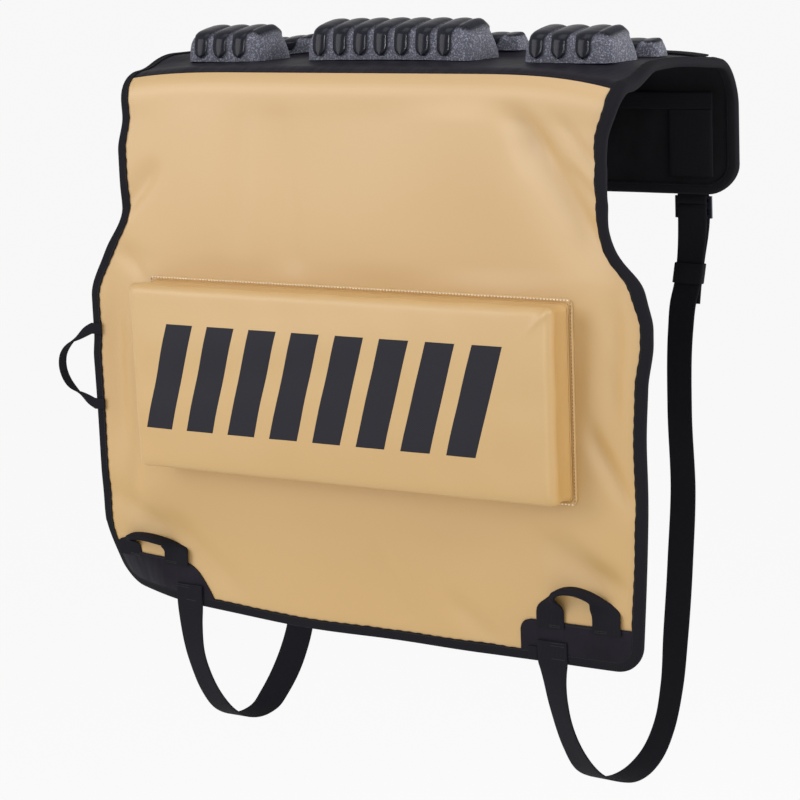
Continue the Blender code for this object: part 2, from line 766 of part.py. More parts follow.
def add_buckle(name, x):
    """A ladder-lock: a flat plate with three bars and a thumb tab."""
    y, top = buckle_place()
    rail = (BUCKLE_WIDTH - WEBBING_WIDTH) / 2 - 4 * CLEARANCE
    half = BUCKLE_WIDTH / 2
    columns = [-half, rail - half, -0.3 * half, 0.3 * half, half - rail, half]
    rows = [0.0]
    for step in (BUCKLE_BAR, BUCKLE_SLOT, BUCKLE_BAR, BUCKLE_SLOT, BUCKLE_BAR, BUCKLE_TAB):
        rows.append(rows[-1] + step)
    solid = {}
    for row in range(6):
        for column in range(5):
            in_slot = row in (1, 3) and 0 < column < 4
            beside_tab = row == 5 and column != 2
            solid[column, row] = not (in_slot or beside_tab)
    points, faces, index = [], [], {}

    def corner(column, row, level):
        key = (column, row, level)
        if key not in index:
            index[key] = len(points)
            tab = BUCKLE_THICKNESS / 2 if row < 6 else BUCKLE_THICKNESS / 4
            points.append(Vector((x + columns[column], y + (2 * level - 1) * tab, top - rows[row])))
        return index[key]

    around = ((0, 0), (1, 0), (1, 1), (0, 1))
    beside = ((0, -1), (1, 0), (0, 1), (-1, 0))
    for (column, row), filled in solid.items():
        if not filled:
            continue
        for level in (0, 1):
            faces.append(tuple(corner(column + u, row + v, level) for u, v in around))
        for i, (u, v) in enumerate(beside):
            if solid.get((column + u, row + v), False):
                continue
            (u0, v0), (u1, v1) = around[i], around[(i + 1) % 4]
            a, b = (column + u0, row + v0), (column + u1, row + v1)
            faces.append((corner(*a, 0), corner(*b, 0), corner(*b, 1), corner(*a, 1)))
    add_object(name, points, faces, buckle_plastic())


def add_keeper(name, x):
    """An elastic band round the strap and its tail."""
    y, top = buckle_place()
    inner_x = WEBBING_WIDTH / 2 + CLEARANCE
    inner_y = WEBBING_THICKNESS + 2 * CLEARANCE
    rings = []
    for grow, z in ((0, 0), (1, 0), (1, 1), (0, 1)):
        width = inner_x + grow * KEEPER_THICKNESS
        depth = inner_y + grow * KEEPER_THICKNESS
        height = top - KEEPER_DROP - z * KEEPER_HEIGHT
        corners = ((-width, -depth), (width, -depth), (width, depth), (-width, depth))
        rings.append([Vector((rear_x(x, height) + u, y + v, height)) for u, v in corners])
    points = [p for ring in rings for p in ring]
    add_object(name, points, ring_faces(4, 4), black_webbing())


def add_anchor(name, x):
    """Webbing sewn outside the flap, folded round the buckle's top bar."""
    buckle_y, buckle_top = buckle_place()
    bar_z = buckle_top - BUCKLE_BAR / 2
    wrap = bar_wrap()
    near = INNER_DEPTH / 2 + patch_face() + WEBBING_THICKNESS / 2
    far = near + WEBBING_THICKNESS + CLEARANCE
    start = ANCHOR_LENGTH - FLAP_DROP
    points = [(near, start), (near, -FLAP_DROP + 4 * BUCKLE_BAR), (near, -FLAP_DROP)]
    points += arc(buckle_y, bar_z, wrap, 180, 360, 6)
    points += [(far, -FLAP_DROP + 2 * BUCKLE_BAR), (far, start - BUCKLE_BAR)]
    edges = (x - WEBBING_WIDTH / 2, x + WEBBING_WIDTH / 2)
    rows = [[Vector((edge, y, z)) for edge in edges] for y, z in points]
    add_webbing(name, rows, WEBBING_THICKNESS, black_webbing())


def add_plate(name, x_range, y_range, z_range, material):
    """A flat piece of webbing between two x, two y and two z values."""
    corners = ((0, 0), (1, 0), (1, 1), (0, 1))
    rings = [[Vector((x_range[u], y_range[v], z)) for u, v in corners] for z in z_range]
    return loft(rings, material, name)


def add_flap_webbing():
    """Reinforcement inside the flap: one patch behind each buckle and a band across."""
    face = INNER_DEPTH / 2 - CLEARANCE
    depth = (face - WEBBING_THICKNESS, face)
    centre = rear_x(STRAP_CENTRE, -FLAP_DROP) + FLAP_PATCH_OUTBOARD
    near, reach = centre - FLAP_PATCH_WIDTH / 2, centre + FLAP_PATCH_WIDTH / 2
    band = -FLAP_PATCH_FROM - CROSS_WEBBING_HEIGHT
    add_plate("flap_cross_webbing", (-reach, reach), depth, (band, -FLAP_PATCH_FROM), black_webbing())
    height = (BINDING_WIDTH + FLAP_PATCH_CLEAR - FLAP_DROP, band - CLEARANCE)
    add_plate("flap_patch_left", (-reach, -near), depth, height, black_webbing())
    add_plate("flap_patch_right", (near, reach), depth, height, black_webbing())


def add_top_webbing():
    """A band sewn across the top behind the rear blocks."""
    front = FRONT_FACE + FRONT_ROW_SETBACK + FRONT_BLOCK_DEPTH + ROW_GAP
    front += REAR_BLOCK_DEPTH + TOP_WEBBING_GAP
    base = PAD_THICKNESS + CLEARANCE
    reach = NECK_HALF - BINDING_WIDTH - TOP_WEBBING_INSET
    height = (base, base + WEBBING_THICKNESS)
    add_plate("top_webbing", (-reach, reach), (front, front + TOP_WEBBING_WIDTH), height, black_webbing())


def add_carry_loop():
    """A hoop of narrow webbing on the left edge, its feet flat on the binding."""
    lie = PAD_THICKNESS + 2 * CLEARANCE + BINDING_THICKNESS + LOOP_THICKNESS / 2
    top, bottom = drop_to_s(LOOP_TOP_DROP), drop_to_s(LOOP_BOTTOM_DROP)
    rows = []
    steps = 16
    for i in range(-2, steps + 3):
        turn = min(max(i / steps, 0.0), 1.0)
        angle = math.pi * turn
        s = (top + bottom) / 2 + (top - bottom) / 2 * math.cos(angle)
        past_foot = max(-i, i - steps, 0)
        x = -half_width(s) - LOOP_REACH * math.sin(angle) + LOOP_FOOT * past_foot / 2
        crown = smooth_step(1.1 * math.sin(angle))
        facing = 1 if turn < 0.5 else -1
        row = []
        for share in (-0.5, 0.0, 0.5):
            flat = surface(x, s + facing * share * LOOP_WIDTH, lie)
            hoop = surface(x, s, lie + LOOP_WIDTH / 2)
            hoop.y += share * LOOP_WIDTH
            row.append(flat.lerp(hoop, crown))
        rows.append(row)
    add_webbing("carry_loop", rows, LOOP_THICKNESS, black_webbing())


def add_pull_tab():
    """A short tab on the hem beside the right strap."""
    face = -INNER_DEPTH / 2 - patch_face()
    reach = STRAP_INNER - TAB_BESIDE_STRAP
    height = (-FRONT_DROP, TAB_LENGTH - FRONT_DROP)
    depth = (face - HANDLE_THICKNESS, face)
    add_plate("pull_tab", (reach - TAB_WIDTH, reach), depth, height, black_webbing())


def main():
    clear_scene()
    add_panel()
    add_binding()
    add_bumper()
    add_blocks()
    add_corner_patches()
    add_handles()
    add_straps()
    add_flap_webbing()
    add_top_webbing()
    add_carry_loop()
    add_pull_tab()


main()
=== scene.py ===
# %% [markdown]
# A padded tailgate cover, dressed for a studio picture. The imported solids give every
# size and place. This lesson puts cloth, webbing, moulded foam and thread on them.
# It goes from the frame to the camera and lights, then to the finishes, and then piece
# by piece over the cover. Each cell can be read, changed and run again by itself.

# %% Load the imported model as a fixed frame
import math
from contextlib import contextmanager

import bmesh
import bpy
import numpy as np
from mathutils import Matrix, Vector


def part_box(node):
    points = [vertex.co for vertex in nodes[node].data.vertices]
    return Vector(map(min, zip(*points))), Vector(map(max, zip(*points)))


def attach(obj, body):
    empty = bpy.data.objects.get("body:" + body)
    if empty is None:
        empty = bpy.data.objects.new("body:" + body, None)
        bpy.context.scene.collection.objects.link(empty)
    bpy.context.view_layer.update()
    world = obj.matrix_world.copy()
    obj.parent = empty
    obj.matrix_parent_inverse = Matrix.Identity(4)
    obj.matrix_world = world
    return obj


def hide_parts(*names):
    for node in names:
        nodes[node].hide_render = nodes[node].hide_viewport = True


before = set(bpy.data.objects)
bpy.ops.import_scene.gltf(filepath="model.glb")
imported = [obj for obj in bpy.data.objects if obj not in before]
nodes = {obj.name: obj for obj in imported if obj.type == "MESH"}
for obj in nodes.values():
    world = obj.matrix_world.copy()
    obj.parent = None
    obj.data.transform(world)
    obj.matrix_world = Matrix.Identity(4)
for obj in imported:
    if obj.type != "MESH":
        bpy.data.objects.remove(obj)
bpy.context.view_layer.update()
SIDES = (("left", -1), ("right", 1))
print("solids:", len(nodes))


def add_object(name, data):
    """A new object in the scene."""
    item = bpy.data.objects.new(name, data)
    bpy.context.scene.collection.objects.link(item)
    return item


# %% [markdown]
# The camera stands to the right of the front panel and a little above it, and is tipped
# by two degrees. A long lens keeps the panel's edges nearly parallel. Blender's camera
# looks along its own -Z, so its three axes are worked out and put into a matrix.

# %% Place the camera
LOOK_AT = Vector((0.0605, -0.1585, -0.3665))
CAMERA_AZIMUTH = math.radians(33.9)
CAMERA_ELEVATION = math.radians(10.1)
CAMERA_ROLL = math.radians(2.04)
CAMERA_DISTANCE = 3.235
LENS_MM = 128.4

flat_back = Vector((math.sin(CAMERA_AZIMUTH), -math.cos(CAMERA_AZIMUTH), 0))
camera_back = flat_back * math.cos(CAMERA_ELEVATION)
camera_back.z = math.sin(CAMERA_ELEVATION)
level_right = Vector((math.cos(CAMERA_AZIMUTH), math.sin(CAMERA_AZIMUTH), 0))
level_up = camera_back.cross(level_right)
camera_right = level_right * math.cos(CAMERA_ROLL) - level_up * math.sin(CAMERA_ROLL)
camera_up = level_right * math.sin(CAMERA_ROLL) + level_up * math.cos(CAMERA_ROLL)

camera_data = bpy.data.cameras.new("studio_camera")
camera_data.lens = LENS_MM
camera_data.clip_end = 200
camera = add_object("studio_camera", camera_data)
turn = Matrix((camera_right, camera_up, camera_back)).transposed().to_4x4()
camera.matrix_world = Matrix.Translation(LOOK_AT + camera_back * CAMERA_DISTANCE) @ turn
bpy.context.scene.camera = camera
print("camera at", [round(v, 3) for v in camera.matrix_world.translation])

# %% [markdown]
# Soft light from a large panel at the front left keeps the coated cloth even. A second
# panel behind on the right draws the bright edges on the dark foam and webbing. A thin
# strip is seen only in reflections, where it draws a fine line on each foam rib. The
# cover hangs, so the pale floor lies well below it, and its far end fills the picture.

# %% Light the studio
FLOOR_LEVEL = -1.9
FLOOR_HALF = 90.0


def soft_light(name, place, target, size, power):
    """A square panel light that faces its target."""
    data = bpy.data.lights.new(name, "AREA")
    data.shape = "SQUARE"
    data.size = size
    data.energy = power
    lamp = add_object(name, data)
    lamp.location = place
    lamp.rotation_euler = (Vector(target) - Vector(place)).to_track_quat("-Z", "Y").to_euler()
    return lamp


panel_middle = (0.0, -0.15, -0.3)
soft_light("front_panel_light", (-2.1, -2.7, 0.75), panel_middle, 1.9, 46)
soft_light("rear_panel_light", (1.9, 2.9, 0.55), (0.2, 0.0, 0.0), 1.3, 36)
soft_light("right_panel_light", (3.0, -0.45, 0.95), (0.25, -0.05, -0.1), 1.0, 41)
soft_light("top_panel_light", (-0.2, -1.2, 2.6), panel_middle, 1.8, 21)
strip_light = soft_light("front_strip_light", (0.7, -3.3, 0.6), (0.0, -0.1, 0.0), 0.12, 44)
strip_light.data.shape = "RECTANGLE"
strip_light.data.size_y = 1.6
strip_light.visible_diffuse = False

world = bpy.data.worlds.new("studio_world")
bpy.context.scene.world = world
world.use_nodes = True
world.node_tree.nodes["Background"].inputs["Color"].default_value = (1, 1, 1, 1)
world.node_tree.nodes["Background"].inputs["Strength"].default_value = 0.50
bpy.context.scene.view_settings.view_transform = "Standard"

floor_mesh = bpy.data.meshes.new("studio_floor")
corners = [(x * FLOOR_HALF, y * FLOOR_HALF, FLOOR_LEVEL) for x, y in ((-1, -1), (1, -1), (1, 1), (-1, 1))]
floor_mesh.from_pydata(corners, [], [(0, 1, 2, 3)])
floor = add_object("studio_floor", floor_mesh)
floor_paint = bpy.data.materials.new("studio_floor")
floor_paint.use_nodes = True
floor_shader = floor_paint.node_tree.nodes["Principled BSDF"]
floor_shader.inputs["Base Color"].default_value = (0.12, 0.12, 0.12, 1)
floor_shader.inputs["Specular IOR Level"].default_value = 0.0
floor_shader.inputs["Roughness"].default_value = 0.9
floor_shader.inputs["Emission Color"].default_value = (1, 1, 1, 1)
floor_shader.inputs["Emission Strength"].default_value = 0.875
floor_mesh.materials.append(floor_paint)

# %% [markdown]
# Several finishes need the same small effects: the grain of coated cloth, the weave of
# webbing, the pebbled skin of moulded foam, and a slow change of tone. Each is a node
# group with named sockets. Built once, it goes into every material that needs it, with
# that material's own values. A helper adds a math node and takes sockets or numbers.

# %% Helpers for node trees
def plug(tree, value, socket):
    """Link a socket, or set a plain value."""
    if isinstance(value, bpy.types.NodeSocket):
        tree.links.new(value, socket)
    elif value is not None:
        socket.default_value = value


def calc(tree, operation, *values):
    """A math node over sockets or numbers. It returns its output."""
    node = tree.nodes.new("ShaderNodeMath")
    node.operation = operation
    for value, socket in zip(values, node.inputs):
        plug(tree, value, socket)
    return node.outputs[0]


def stretch(tree, value, low, high, to_low=0.0, to_high=1.0):
    """A clamped map from one range to another."""
    node = tree.nodes.new("ShaderNodeMapRange")
    ends = {"From Min": low, "From Max": high, "To Min": to_low, "To Max": to_high}
    for label, number in ends.items():
        node.inputs[label].default_value = number
    plug(tree, value, node.inputs["Value"])
    return node.outputs["Result"]


def noise(tree, place, scale, detail=2.0, rough=0.5):
    """A noise texture's value."""
    node = tree.nodes.new("ShaderNodeTexNoise")
    node.inputs["Detail"].default_value = detail
    node.inputs["Roughness"].default_value = rough
    plug(tree, place, node.inputs["Vector"])
    plug(tree, scale, node.inputs["Scale"])
    return node.outputs["Fac"]


def new_group(name, place, number, default, outputs):
    """An empty node group: a place and a number go in, the named values come out."""
    tree = bpy.data.node_groups.new(name, "ShaderNodeTree")
    tree.interface.new_socket(name=place, in_out="INPUT", socket_type="NodeSocketVector")
    socket = tree.interface.new_socket(name=number, in_out="INPUT", socket_type="NodeSocketFloat")
    socket.default_value = default
    for label in outputs:
        tree.interface.new_socket(name=label, in_out="OUTPUT", socket_type="NodeSocketFloat")
    return tree, tree.nodes.new("NodeGroupInput").outputs, tree.nodes.new("NodeGroupOutput").inputs


# %% Grain of coated cloth
grain_group, given, result = new_group("coated_grain", "Place", "Scale", 900.0, ["Height"])
cells = grain_group.nodes.new("ShaderNodeTexVoronoi")
cells.feature = "SMOOTH_F1"
plug(grain_group, given["Place"], cells.inputs["Vector"])
plug(grain_group, given["Scale"], cells.inputs["Scale"])
fine = noise(grain_group, given["Place"], calc(grain_group, "MULTIPLY", given["Scale"], 0.45), 3.0)
height = calc(grain_group, "MULTIPLY_ADD", cells.outputs["Distance"], 0.6, fine)
plug(grain_group, height, result["Height"])

# %% Weave of webbing
weave_group, given, result = new_group("webbing_weave", "Run", "Pitch", 0.0016, ["Height", "Rib"])
split = weave_group.nodes.new("ShaderNodeSeparateXYZ")
plug(weave_group, given["Run"], split.inputs[0])
along = calc(weave_group, "DIVIDE", split.outputs["X"], given["Pitch"])
across = calc(weave_group, "DIVIDE", split.outputs["Y"], given["Pitch"])
stagger = calc(weave_group, "MULTIPLY", calc(weave_group, "FLOOR", across), 0.5)
bead = calc(weave_group, "PINGPONG", calc(weave_group, "ADD", along, stagger), 0.5)
ridge = calc(weave_group, "PINGPONG", across, 0.5)
rib = calc(weave_group, "MULTIPLY", ridge, 2.0)
height = calc(weave_group, "MULTIPLY", calc(weave_group, "MULTIPLY", bead, rib), 2.0)
plug(weave_group, height, result["Height"])
# Rib also sets the webbing's colour, as painted shade in the grooves of the weave.
plug(weave_group, rib, result["Rib"])

# %% Pebbled skin of moulded foam
pebble_group, given, result = new_group("pebbled_skin", "Place", "Scale", 620.0, ["Height", "Glint"])
pebbles = pebble_group.nodes.new("ShaderNodeTexVoronoi")
plug(pebble_group, given["Place"], pebbles.inputs["Vector"])
plug(pebble_group, given["Scale"], pebbles.inputs["Scale"])
finer = calc(pebble_group, "MULTIPLY", given["Scale"], 0.7)
fine = noise(pebble_group, given["Place"], finer, 4.0, 0.7)
height = calc(pebble_group, "MULTIPLY_ADD", pebbles.outputs["Distance"], -0.8, fine)
plug(pebble_group, height, result["Height"])
# This fine mask places the foam's painted glints.
plug(pebble_group, stretch(pebble_group, fine, 0.50, 0.62), result["Glint"])

# %% Slow change of tone, from handling and light dust
tone_group, given, result = new_group("slow_tone", "Place", "Scale", 9.0, ["Tone"])
clouds = noise(tone_group, given["Place"], given["Scale"], 5.0, 0.6)
plug(tone_group, stretch(tone_group, clouds, 0.32, 0.68), result["Tone"])
print("node groups:", sorted(g.name for g in bpy.data.node_groups))

# %% [markdown]
# A finish is a material: its shader holds the plain values, and the groups feed what
# changes over the surface. Cloth takes its place from the object's own coordinates, so
# the grain stays with the piece. Webbing takes it from a map that runs along the strap.

# %% Helpers for finishes
def new_finish(name, roughness, shine):
    """A material with its shader's plain values set. It returns the tree and the shader."""
    material = bpy.data.materials.new(name)
    material.use_nodes = True
    shader = material.node_tree.nodes["Principled BSDF"]
    shader.inputs["Roughness"].default_value = roughness
    shader.inputs["Specular IOR Level"].default_value = shine
    return material, material.node_tree, shader


def use_group(tree, group, first, scale):
    """Place a group: its first input is linked, its second is set."""
    node = tree.nodes.new("ShaderNodeGroup")
    node.node_tree = group
    plug(tree, first, node.inputs[0])
    node.inputs[1].default_value = scale
    return node.outputs


def own_place(tree):
    return tree.nodes.new("ShaderNodeTexCoord").outputs["Object"]


def run_map(tree):
    """The map in metres along and across a piece."""
    node = tree.nodes.new("ShaderNodeUVMap")
    node.uv_map = "run"
    return node.outputs["UV"]


def blend_colours(tree, share, first, second):
    """A mix of two colours, each a socket or three numbers."""
    node = tree.nodes.new("ShaderNodeMix")
    node.data_type = "RGBA"
    plug(tree, share, node.inputs["Factor"])
    for colour, socket in ((first, node.inputs[6]), (second, node.inputs[7])):
        plug(tree, colour if isinstance(colour, bpy.types.NodeSocket) else (*colour, 1), socket)
    return node.outputs[2]


def add_bump(tree, shader, height, depth):
    """Bump from a height, with its depth in metres."""
    node = tree.nodes.new("ShaderNodeBump")
    node.inputs["Strength"].default_value = 1.0
    node.inputs["Distance"].default_value = depth
    plug(tree, height, node.inputs["Height"])
    tree.links.new(node.outputs["Normal"], shader.inputs["Normal"])


# %% [markdown]
# The yellow tarpaulin is a satin coated cloth. Its colour drifts a little at random over the
# panel, and is painted paler and lighter towards the top as a painted sheen from the light
# above. Its grain is almost too fine to see. The box carries a print: here a plain
# row of slanted bars. The print is a mask worked out from x and z on the box's face,
# so its edges stay sharp however close the camera comes, and it shows a twill weave.

# %% Yellow tarpaulin, plain and printed
# The upper colour is paler and lighter than the lower: a painted sheen from the light above.
YELLOW_WITH_PAINTED_SHEEN = (0.571, 0.366, 0.153)
YELLOW_LOWER = (0.560, 0.340, 0.108)
PAINTED_SHEEN_RISE = (-0.50, -0.06)
TONE_DRIFT = 0.24
PRINT_DARK = (0.009, 0.009, 0.013)
PRINT_LIGHT = (0.026, 0.026, 0.036)
BAR_PITCH = 0.0605
BAR_SHARE = 0.64
BAR_LEAN = 0.30
BAR_COUNT = 8
PRINT_LEFT = -0.255
PRINT_MIDDLE = -0.352
PRINT_HALF_HEIGHT = 0.063
TWILL_PITCH = 0.0023


def print_mask(tree, x, z):
    """1 on the slanted bars, and a twill that runs from 0 to 1."""
    rise = calc(tree, "SUBTRACT", z, PRINT_MIDDLE)
    slide = calc(tree, "SUBTRACT", x, calc(tree, "MULTIPLY", rise, BAR_LEAN))
    count = calc(tree, "DIVIDE", calc(tree, "SUBTRACT", slide, PRINT_LEFT), BAR_PITCH)
    aside = calc(tree, "ABSOLUTE", calc(tree, "SUBTRACT", count, BAR_COUNT / 2))
    mask = calc(tree, "LESS_THAN", calc(tree, "FRACT", count), BAR_SHARE)
    for reach, limit in ((aside, BAR_COUNT / 2), (calc(tree, "ABSOLUTE", rise), PRINT_HALF_HEIGHT)):
        mask = calc(tree, "MULTIPLY", mask, calc(tree, "LESS_THAN", reach, limit))
    twill = calc(tree, "PINGPONG", calc(tree, "DIVIDE", calc(tree, "ADD", x, z), TWILL_PITCH), 0.5)
    return mask, calc(tree, "MULTIPLY", twill, 2.0)


def yellow_finish(name, printed):
    material, tree, shader = new_finish(name, 0.52, 0.15)
    shader.inputs["Coat Weight"].default_value = 1.0
    shader.inputs["Coat Roughness"].default_value = 0.5
    shader.inputs["Coat IOR"].default_value = 1.72
    place = own_place(tree)
    grain = use_group(tree, grain_group, place, 1500.0)
    tone = use_group(tree, tone_group, place, 5.0)
    axes = tree.nodes.new("ShaderNodeSeparateXYZ")
    plug(tree, place, axes.inputs[0])
    # Painted sheen: the colour is painted paler and lighter towards the top, added to the random tone.
    painted_sheen = calc(tree, "SUBTRACT", stretch(tree, axes.outputs["Z"], *PAINTED_SHEEN_RISE), TONE_DRIFT / 2)
    tone_and_painted_sheen = calc(tree, "MULTIPLY_ADD", tone["Tone"], TONE_DRIFT, painted_sheen)
    colour = blend_colours(tree, calc(tree, "MAXIMUM", tone_and_painted_sheen, 0.0), YELLOW_LOWER, YELLOW_WITH_PAINTED_SHEEN)
    height = grain["Height"]
    if printed:
        mask, twill = print_mask(tree, axes.outputs["X"], axes.outputs["Z"])
        colour = blend_colours(tree, mask, colour, blend_colours(tree, twill, PRINT_DARK, PRINT_LIGHT))
        plug(tree, calc(tree, "SUBTRACT", 1.0, mask), shader.inputs["Coat Weight"])
        height = calc(tree, "MULTIPLY_ADD", twill, mask, height)
    plug(tree, colour, shader.inputs["Base Color"])
    add_bump(tree, shader, height, 0.00006)
    return material


yellow_cloth = yellow_finish("yellow_cloth", False)
printed_cloth = yellow_finish("printed_yellow_cloth", True)


# %% [markdown]
# The dark finishes differ more in how they shine than in colour. Coated cloth is satin,
# webbing is matte with a rib, the lining is brushed and drinks the light, and the foam
# is pebbled in its valleys and smoother where the mould polished its ribs. The pale
# specks in the foam's valleys and on its end faces are painted glints: light caught on
# the pebbled grain, painted into the colour.

# %% Dark cloth, webbing, lining, foam, plastic and thread
def dark_cloth_finish(name, low, high, roughness, shine, creases):
    material, tree, shader = new_finish(name, roughness, shine)
    place = own_place(tree)
    grain = use_group(tree, grain_group, place, 1300.0)
    tone = use_group(tree, tone_group, place, 14.0)
    plug(tree, blend_colours(tree, tone["Tone"], low, high), shader.inputs["Base Color"])
    slant = tree.nodes.new("ShaderNodeMapping")
    slant.inputs["Rotation"].default_value = (0.0, 0.0, math.radians(38))
    slant.inputs["Scale"].default_value = (34.0, 9.0, 9.0)
    plug(tree, place, slant.inputs["Vector"])
    wrinkles = noise(tree, slant.outputs["Vector"], 1.0, 2.0, 0.45)
    height = calc(tree, "MULTIPLY_ADD", grain["Height"], 0.02, calc(tree, "MULTIPLY", wrinkles, creases))
    add_bump(tree, shader, height, 0.004)
    return material


def webbing_finish(name, low, high, pitch):
    material, tree, shader = new_finish(name, 0.8, 0.045)
    weave = use_group(tree, weave_group, run_map(tree), pitch)
    # The colour follows the rib: painted shade in the weave's grooves, lighter on its ridges.
    plug(tree, blend_colours(tree, weave["Rib"], low, high), shader.inputs["Base Color"])
    add_bump(tree, shader, weave["Height"], 0.00012)
    return material


def foam_finish():
    material, tree, shader = new_finish("pebbled_foam", 0.42, 0.14)
    place = own_place(tree)
    skin = use_group(tree, pebble_group, place, 720.0)
    valley = tree.nodes.new("ShaderNodeAttribute")
    valley.attribute_name = "valley"
    # Painted glints: pale specks in the valleys and on the end faces stand for light caught on the grain; the
    # ribs keep the foam's own near-black.
    glint_share = calc(tree, "MULTIPLY_ADD", skin["Glint"], 0.66, 0.24)
    painted_glints = calc(tree, "MULTIPLY", glint_share, stretch(tree, valley.outputs["Fac"], 0.15, 1.0, 0.03, 1.0))
    colour = blend_colours(tree, painted_glints, (0.012, 0.0125, 0.019), (0.34, 0.35, 0.435))
    plug(tree, colour, shader.inputs["Base Color"])
    plug(tree, stretch(tree, valley.outputs["Fac"], 0.0, 1.0, 0.11, 0.5), shader.inputs["Roughness"])
    depth = calc(tree, "MULTIPLY", skin["Height"], stretch(tree, valley.outputs["Fac"], 0.0, 1.0, 0.12, 1.0))
    add_bump(tree, shader, depth, 0.0005)
    return material


def plain_finish(name, colour, roughness, shine=0.3):
    """A small dark piece: one tone with a fine grain."""
    material, tree, shader = new_finish(name, roughness, shine)
    tone = use_group(tree, tone_group, own_place(tree), 60.0)
    darker = [0.8 * part for part in colour]
    plug(tree, blend_colours(tree, tone["Tone"], darker, colour), shader.inputs["Base Color"])
    grain = use_group(tree, grain_group, own_place(tree), 1800.0)
    add_bump(tree, shader, grain["Height"], 0.00004)
    return material


dark_cloth = dark_cloth_finish(
    "black_cloth", (0.0110, 0.0096, 0.0142), (0.0172, 0.0152, 0.0218), roughness=0.46, shine=0.07, creases=1.0
)
lining_finish = dark_cloth_finish(
    "brushed_lining", (0.012, 0.012, 0.013), (0.018, 0.018, 0.021), roughness=0.95, shine=0.02, creases=0.5
)
webbing = webbing_finish("black_webbing_weave", (0.0115, 0.011, 0.014), (0.0175, 0.0165, 0.021), 0.0017)
binding_tape = webbing_finish("black_binding_tape", (0.011, 0.0105, 0.013), (0.018, 0.017, 0.021), 0.0009)
elastic = webbing_finish("black_elastic", (0.010, 0.010, 0.012), (0.020, 0.019, 0.023), 0.0012)
pebbled_foam = foam_finish()
plastic = plain_finish("buckle_plastic_skin", (0.022, 0.026, 0.038), 0.3)
# One tan thread in two copies: the pale copy is painted light, the brown copy is painted shade.
thread_painted_light = plain_finish("thread_painted_light", (0.95, 0.86, 0.68), 0.6)
thread_painted_shade = plain_finish("thread_painted_shade", (0.22, 0.13, 0.06), 0.6)
black_thread = plain_finish("black_thread", (0.02, 0.02, 0.022), 0.6)
print("finishes:", len(bpy.data.materials))

# %% [markdown]
# The cover is one long padded sheet, folded over the tailgate. A place on it has three
# numbers: x across, s along its section from the front hem, and an offset outside the
# lining. One function turns them into a point, so that cloth, tape, patches and thread
# all lie on the same surface. The sizes come from the frame's boxes where they show.

# %% The sheet's section
LINING = 0.0012
GAP = 0.0003
inner_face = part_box("lining")[1].y - LINING
tape_low, tape_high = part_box("edge_binding")
FRONT_DROP = -tape_low.z
WIDEST_HALF = tape_high.x
TAPE = 0.0012
PAD_OUT = tape_high.y - inner_face - GAP - TAPE
NECK_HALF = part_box("top_foam")[1].x + TAPE + GAP
FLAP_DROP = -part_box("flap_foam")[0].z + TAPE + GAP
HEM_HALF = 0.372
WIDEST_DROP = 0.3045
SHOULDER_DROP = 0.2695
NECK_DROP = 0.1595
HEM_CORNER = 0.032
FLAP_CORNER = 0.042
FRONT_BEND = 0.022
REAR_BEND = 0.032
FRONT_STRAIGHT = FRONT_DROP - FRONT_BEND
TOP_START = FRONT_STRAIGHT + FRONT_BEND * math.pi / 2
TOP_END = TOP_START + 2 * inner_face - FRONT_BEND - REAR_BEND
FLAP_START = TOP_END + REAR_BEND * math.pi / 2
PATH_LENGTH = FLAP_START + FLAP_DROP - REAR_BEND
SEAM = FRONT_STRAIGHT + 0.020
SAG_START, CORNER_START = 0.150, 0.220
FRONT_SAG_LEFT, FRONT_SAG_RIGHT, REAR_SAG = 0.011, 0.014, 0.012
END_RISE = 0.0075
print(f"sheet: {2 * WIDEST_HALF:.3f} wide, {PATH_LENGTH:.3f} long, {PAD_OUT:.4f} thick")


def ease(value):
    """0 to 1 with a soft start and end."""
    value = np.clip(value, 0.0, 1.0)
    return value * value * (3 - 2 * value)


def window(value, start, rise, end, fall):
    """1 from start + rise to end, with a soft rise and fall."""
    return ease((value - start) / rise) * (1 - ease((value - end) / fall))


def half_width(s):
    """Half width of the sheet at s, its rounded corners apart."""
    widest = FRONT_DROP - WIDEST_DROP
    lower = HEM_HALF + (WIDEST_HALF - HEM_HALF) * np.sin(math.pi / 2 * np.clip(s / widest, 0, 1))
    rise = (s - FRONT_DROP + SHOULDER_DROP) / (SHOULDER_DROP - NECK_DROP)
    return np.where(s < widest, lower, WIDEST_HALF + (NECK_HALF - WIDEST_HALF) * ease(rise))


def slack(x, s):
    """How far the cloth sags at the ends of the top."""
    share = np.clip((np.abs(x) - SAG_START) / (NECK_HALF - SAG_START), 0, None) ** 3
    corner = np.clip((x - CORNER_START) / (NECK_HALF - CORNER_START), 0, None) ** 3
    turn, flap = REAR_BEND * math.pi / 2, FLAP_DROP - REAR_BEND
    front = window(s, FRONT_STRAIGHT - 0.100, 0.100, TOP_START, 0.085)
    front = front * np.where(x > 0, FRONT_SAG_RIGHT, FRONT_SAG_LEFT)
    rear = window(s, TOP_END, turn, FLAP_START, flap)
    rear_corner = window(s, TOP_END - 0.120, turn + 0.120, FLAP_START, flap)
    return share * front + REAR_SAG * (share * rear + corner * rear_corner)


def raised_end(x, s):
    """The left end of the top stands up beside its block."""
    over_top = window(s, FRONT_STRAIGHT + 0.020, 0.090, TOP_END - 0.05, 0.08)
    return END_RISE * ease((-x - 0.285) / 0.040) * over_top


# %% [markdown]
# Hanging cloth is never flat. The lower left corner curls back, a few long folds run
# from the neck's edges, and the whole sheet rolls softly. The folds are valleys between
# two places, steep on one side. The slow roll is a sum of a few sine waves from a
# seeded draw, which is cheap and the same on each run. Both fade out under the box and
# the blocks, which hold the cloth flat.

